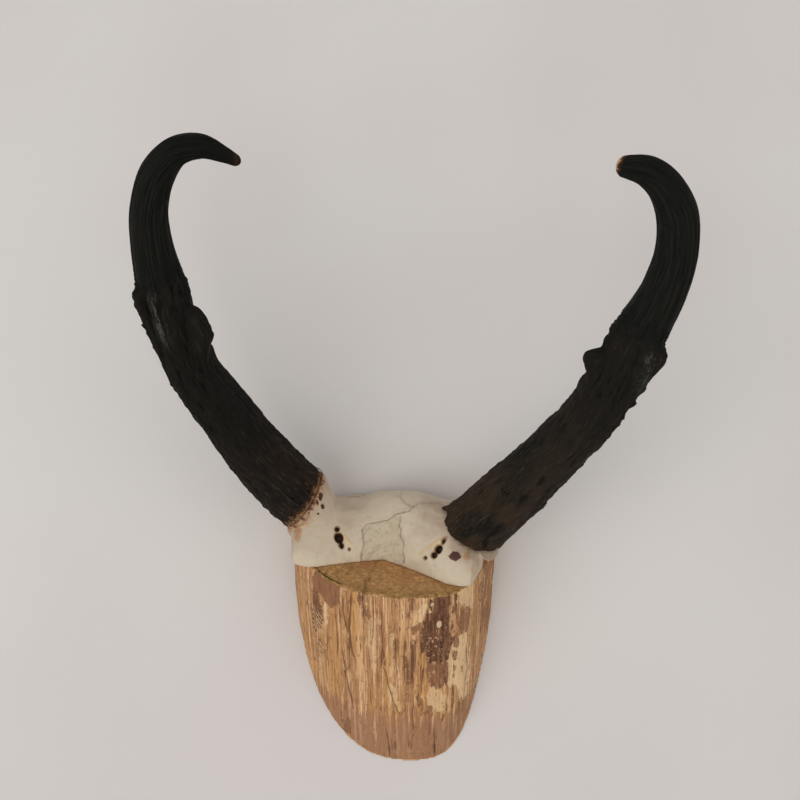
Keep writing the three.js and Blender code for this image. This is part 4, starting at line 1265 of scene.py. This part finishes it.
def keratin(name, horn):
    """Dark horn, browner and more worn towards its base, with painted shade and a painted highlight."""
    material, shade, shader = new_material(name, Specular_IOR_Level=0.1)
    place = shade.vector_attribute("sheath")
    fibre = place.mapped((1100, 1100, 130)).cloud(detail=4, roughness=0.65)
    fleck = place.mapped((800, 800, 420)).cloud(detail=5, roughness=0.75)
    patch = place.mapped((110, 110, 40)).cloud(detail=4, roughness=0.6)
    strand = place.mapped((620, 620, 40)).cloud(detail=4, roughness=0.6, distortion=0.4)
    hook, low = shade.attribute("hook"), shade.attribute("low")
    shine, base = shade.attribute("shine"), shade.attribute("from_base")
    shaft = 1 - hook
    foot = (base + (fleck - 0.5) * 5 + (strand - 0.5) * 3).within(*horn["foot"])
    lower = (base + (patch - 0.5) * 40).within(*horn["brown_reach"])
    scuffed = fleck + strand - 0.5
    raised_fibre = fibre.within(0.53, 0.66) * low.within(0.4, 0.6)
    spots = shade.object_places().mapped((420, 420, 420)).cloud(detail=3)
    core = shade.plain(horn["core"]).layered(
        (tone(150, 108, 72), fleck.within(0.45, 0.6) * horn["core_flecks"]),
        (tone(70, 38, 22), spots.within(0.57, 0.61) * 0.9),
    )
    tip = shade.attribute("tip")
    colour = shade.plain(tone(22, 21, 18)).layered(
        (horn["brown"], patch.within(0.3, 0.62) * shaft * (0.08 + 0.82 * lower)),
        (tone(14, 15, 12), hook),
        (tone(27, 26, 21), hook * strand.within(0.5, 0.6) * 0.7),
        # Painted shade: darker where the surface lies low, in pits, grooves and torn places.
        (tone(9, 9, 8), low.within(0.4, 0.2) * 0.7),
        (tone(66, 55, 43), shaft * raised_fibre * (0.22 + 0.5 * lower)),
        (tone(112, 98, 80), shaft * fleck.within(0.64, 0.71) * (0.25 + 0.5 * lower)),
        # Painted highlight: a pale grey shine along the prong.
        (tone(84, 85, 79), shine * scuffed.within(0.42, 0.62) * 0.7),
        (tone(62, 43, 30), base.within(8, 1) * scuffed.within(0.4, 0.62) * 0.6),
        (tone(134, 104, 76), foot * scuffed.within(0.42, 0.6) * 0.85),
        (tone(72, 40, 22), foot * fleck.within(0.52, 0.42) * 0.8),
        (core, shade.attribute("core").within(0.2, 0.7)),
        (tone(74, 44, 26), tip.within(0.05, 0.5) * horn["tip_ring"]),
        (horn["tip"], (tip + (strand - 0.5) * 0.5).within(0.6, 0.95) * 0.95),
    )
    rough = (0.5 + 0.22 * fibre + 0.12 * shaft - 0.12 * shine).clamped()
    finish_material(shade, shader, colour, rough, [
        (strand * 0.0005 + fibre * 0.0003, 0.6),
        (fleck * 0.0003 * (0.4 + shaft), 0.5),
    ])
    return material


HAIR_STEPS = 4
HAIR_TURNS = [2 * math.pi * k / 3 for k in range(3)]


def make_fringe(name, horn, frames, seat):
    """Stray fibres of horn that hang from the sheath's lower edge over the bone."""
    rng = np.random.default_rng(horn["seed"] + 7)
    made = bpy.data.objects.new(name, bpy.data.meshes.new(name))
    bpy.context.scene.collection.objects.link(made)
    tuft = bmesh.new()
    for middle_turn, spread_turn, longest, count in horn["fray"]:
        for _ in range(count):
            turn = rng.normal(middle_turn, spread_turn)
            edge = max(seat_length(frames, seat, turn), 0) + edge_lift(horn, turn)
            start = edge + rng.uniform(-0.5, 3.5)
            reach = 1.5 + longest * rng.uniform(0.3, 1.3)
            slant = rng.normal(0, 0.6)
            thick = rng.uniform(0.08, 0.2)
            raised = rng.uniform(0.1, 0.9)
            root = sheath_point(frames, start, turn)
            middle, along = frame_at(frames, start, "middle", "along")
            away = unit(root - middle)
            aside = np.cross(along, away)
            way = -along * math.cos(slant) + aside * math.sin(slant)
            curl = rng.normal(0, 0.5)
            before = None
            for step in range(HAIR_STEPS + 1):
                share = step / HAIR_STEPS
                centre = (root + way * reach * share + away * (0.55 + raised * math.sin(share * 2.4))
                          + aside * curl * share**2)
                wide = thick * (1 - 0.8 * share)
                corners = [centre + wide * (math.cos(a) * aside + math.sin(a) * away) for a in HAIR_TURNS]
                ring = [tuft.verts.new(Vector(place)) for place in from_skull(np.array(corners))]
                if before:
                    for k in range(3):
                        tuft.faces.new((before[k], before[(k + 1) % 3], ring[(k + 1) % 3], ring[k]))
                else:
                    tuft.faces.new(ring[::-1])
                before = ring
            tuft.faces.new(before)
    bmesh.ops.recalc_face_normals(tuft, faces=tuft.faces)
    tuft.to_mesh(made.data)
    tuft.free()
    return made


stray_fibre, shade, shader = new_material("stray_fibre", Specular_IOR_Level=0.25)
tint = shade.object_places().mapped((300, 300, 300)).cloud(detail=3)
fringe_colour = shade.plain(tone(50, 36, 27)).mix(tone(118, 90, 64), tint.within(0.5, 0.64))
finish_material(shade, shader, fringe_colour, 0.5 + 0.2 * tint)

for which, horn in HORNS.items():
    frames = sheath_frames(horn)
    seat = SEATS[which]
    sheath = make_sheath(f"sheath_{which}", frames, seat)
    carve_sheath(sheath, horn, frames, seat)
    sheath.data.materials.append(keratin(f"keratin_{which}", horn))
    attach(sheath, "root")
    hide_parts(f"horn_{which}")

    fringe = make_fringe(f"fringe_{which}", horn, frames, seat)
    fringe.data.materials.append(stray_fibre)
    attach(fringe, "root")


# ---------------------------------------------------------------------------
# Screws and hanger. Two zinc plated wood screws come up the log from its back and hold the skull cap;
# a small sawtooth strip with two screws of its own lies in a recess in the back.

zinc_plate, shade, shader = new_material("zinc_plate", Metallic=1.0)
place = shade.object_places()
spangle = place.mapped((700, 700, 700)).cloud(detail=3)
brushed = place.mapped((90, 2500, 2500)).cloud(detail=3)
rust = place.mapped((250, 250, 250)).cloud(detail=5)
zinc_colour = shade.plain((0.66, 0.64, 0.6, 1)).layered(
    ((0.5, 0.48, 0.43, 1), spangle.within(0.45, 0.65)),
    ((0.3, 0.24, 0.17, 1), rust.within(0.64, 0.74)),
)
finish_material(shade, shader, zinc_colour, (0.3 + 0.25 * spangle + 0.12 * brushed).clamped(),
                [(brushed * 0.00006, 0.5)])
for node in ("hanger", "hanger_screw_left", "hanger_screw_right", "skull_screw_left", "skull_screw_right"):
    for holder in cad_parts[node].material_slots:
        holder.material = zinc_plate
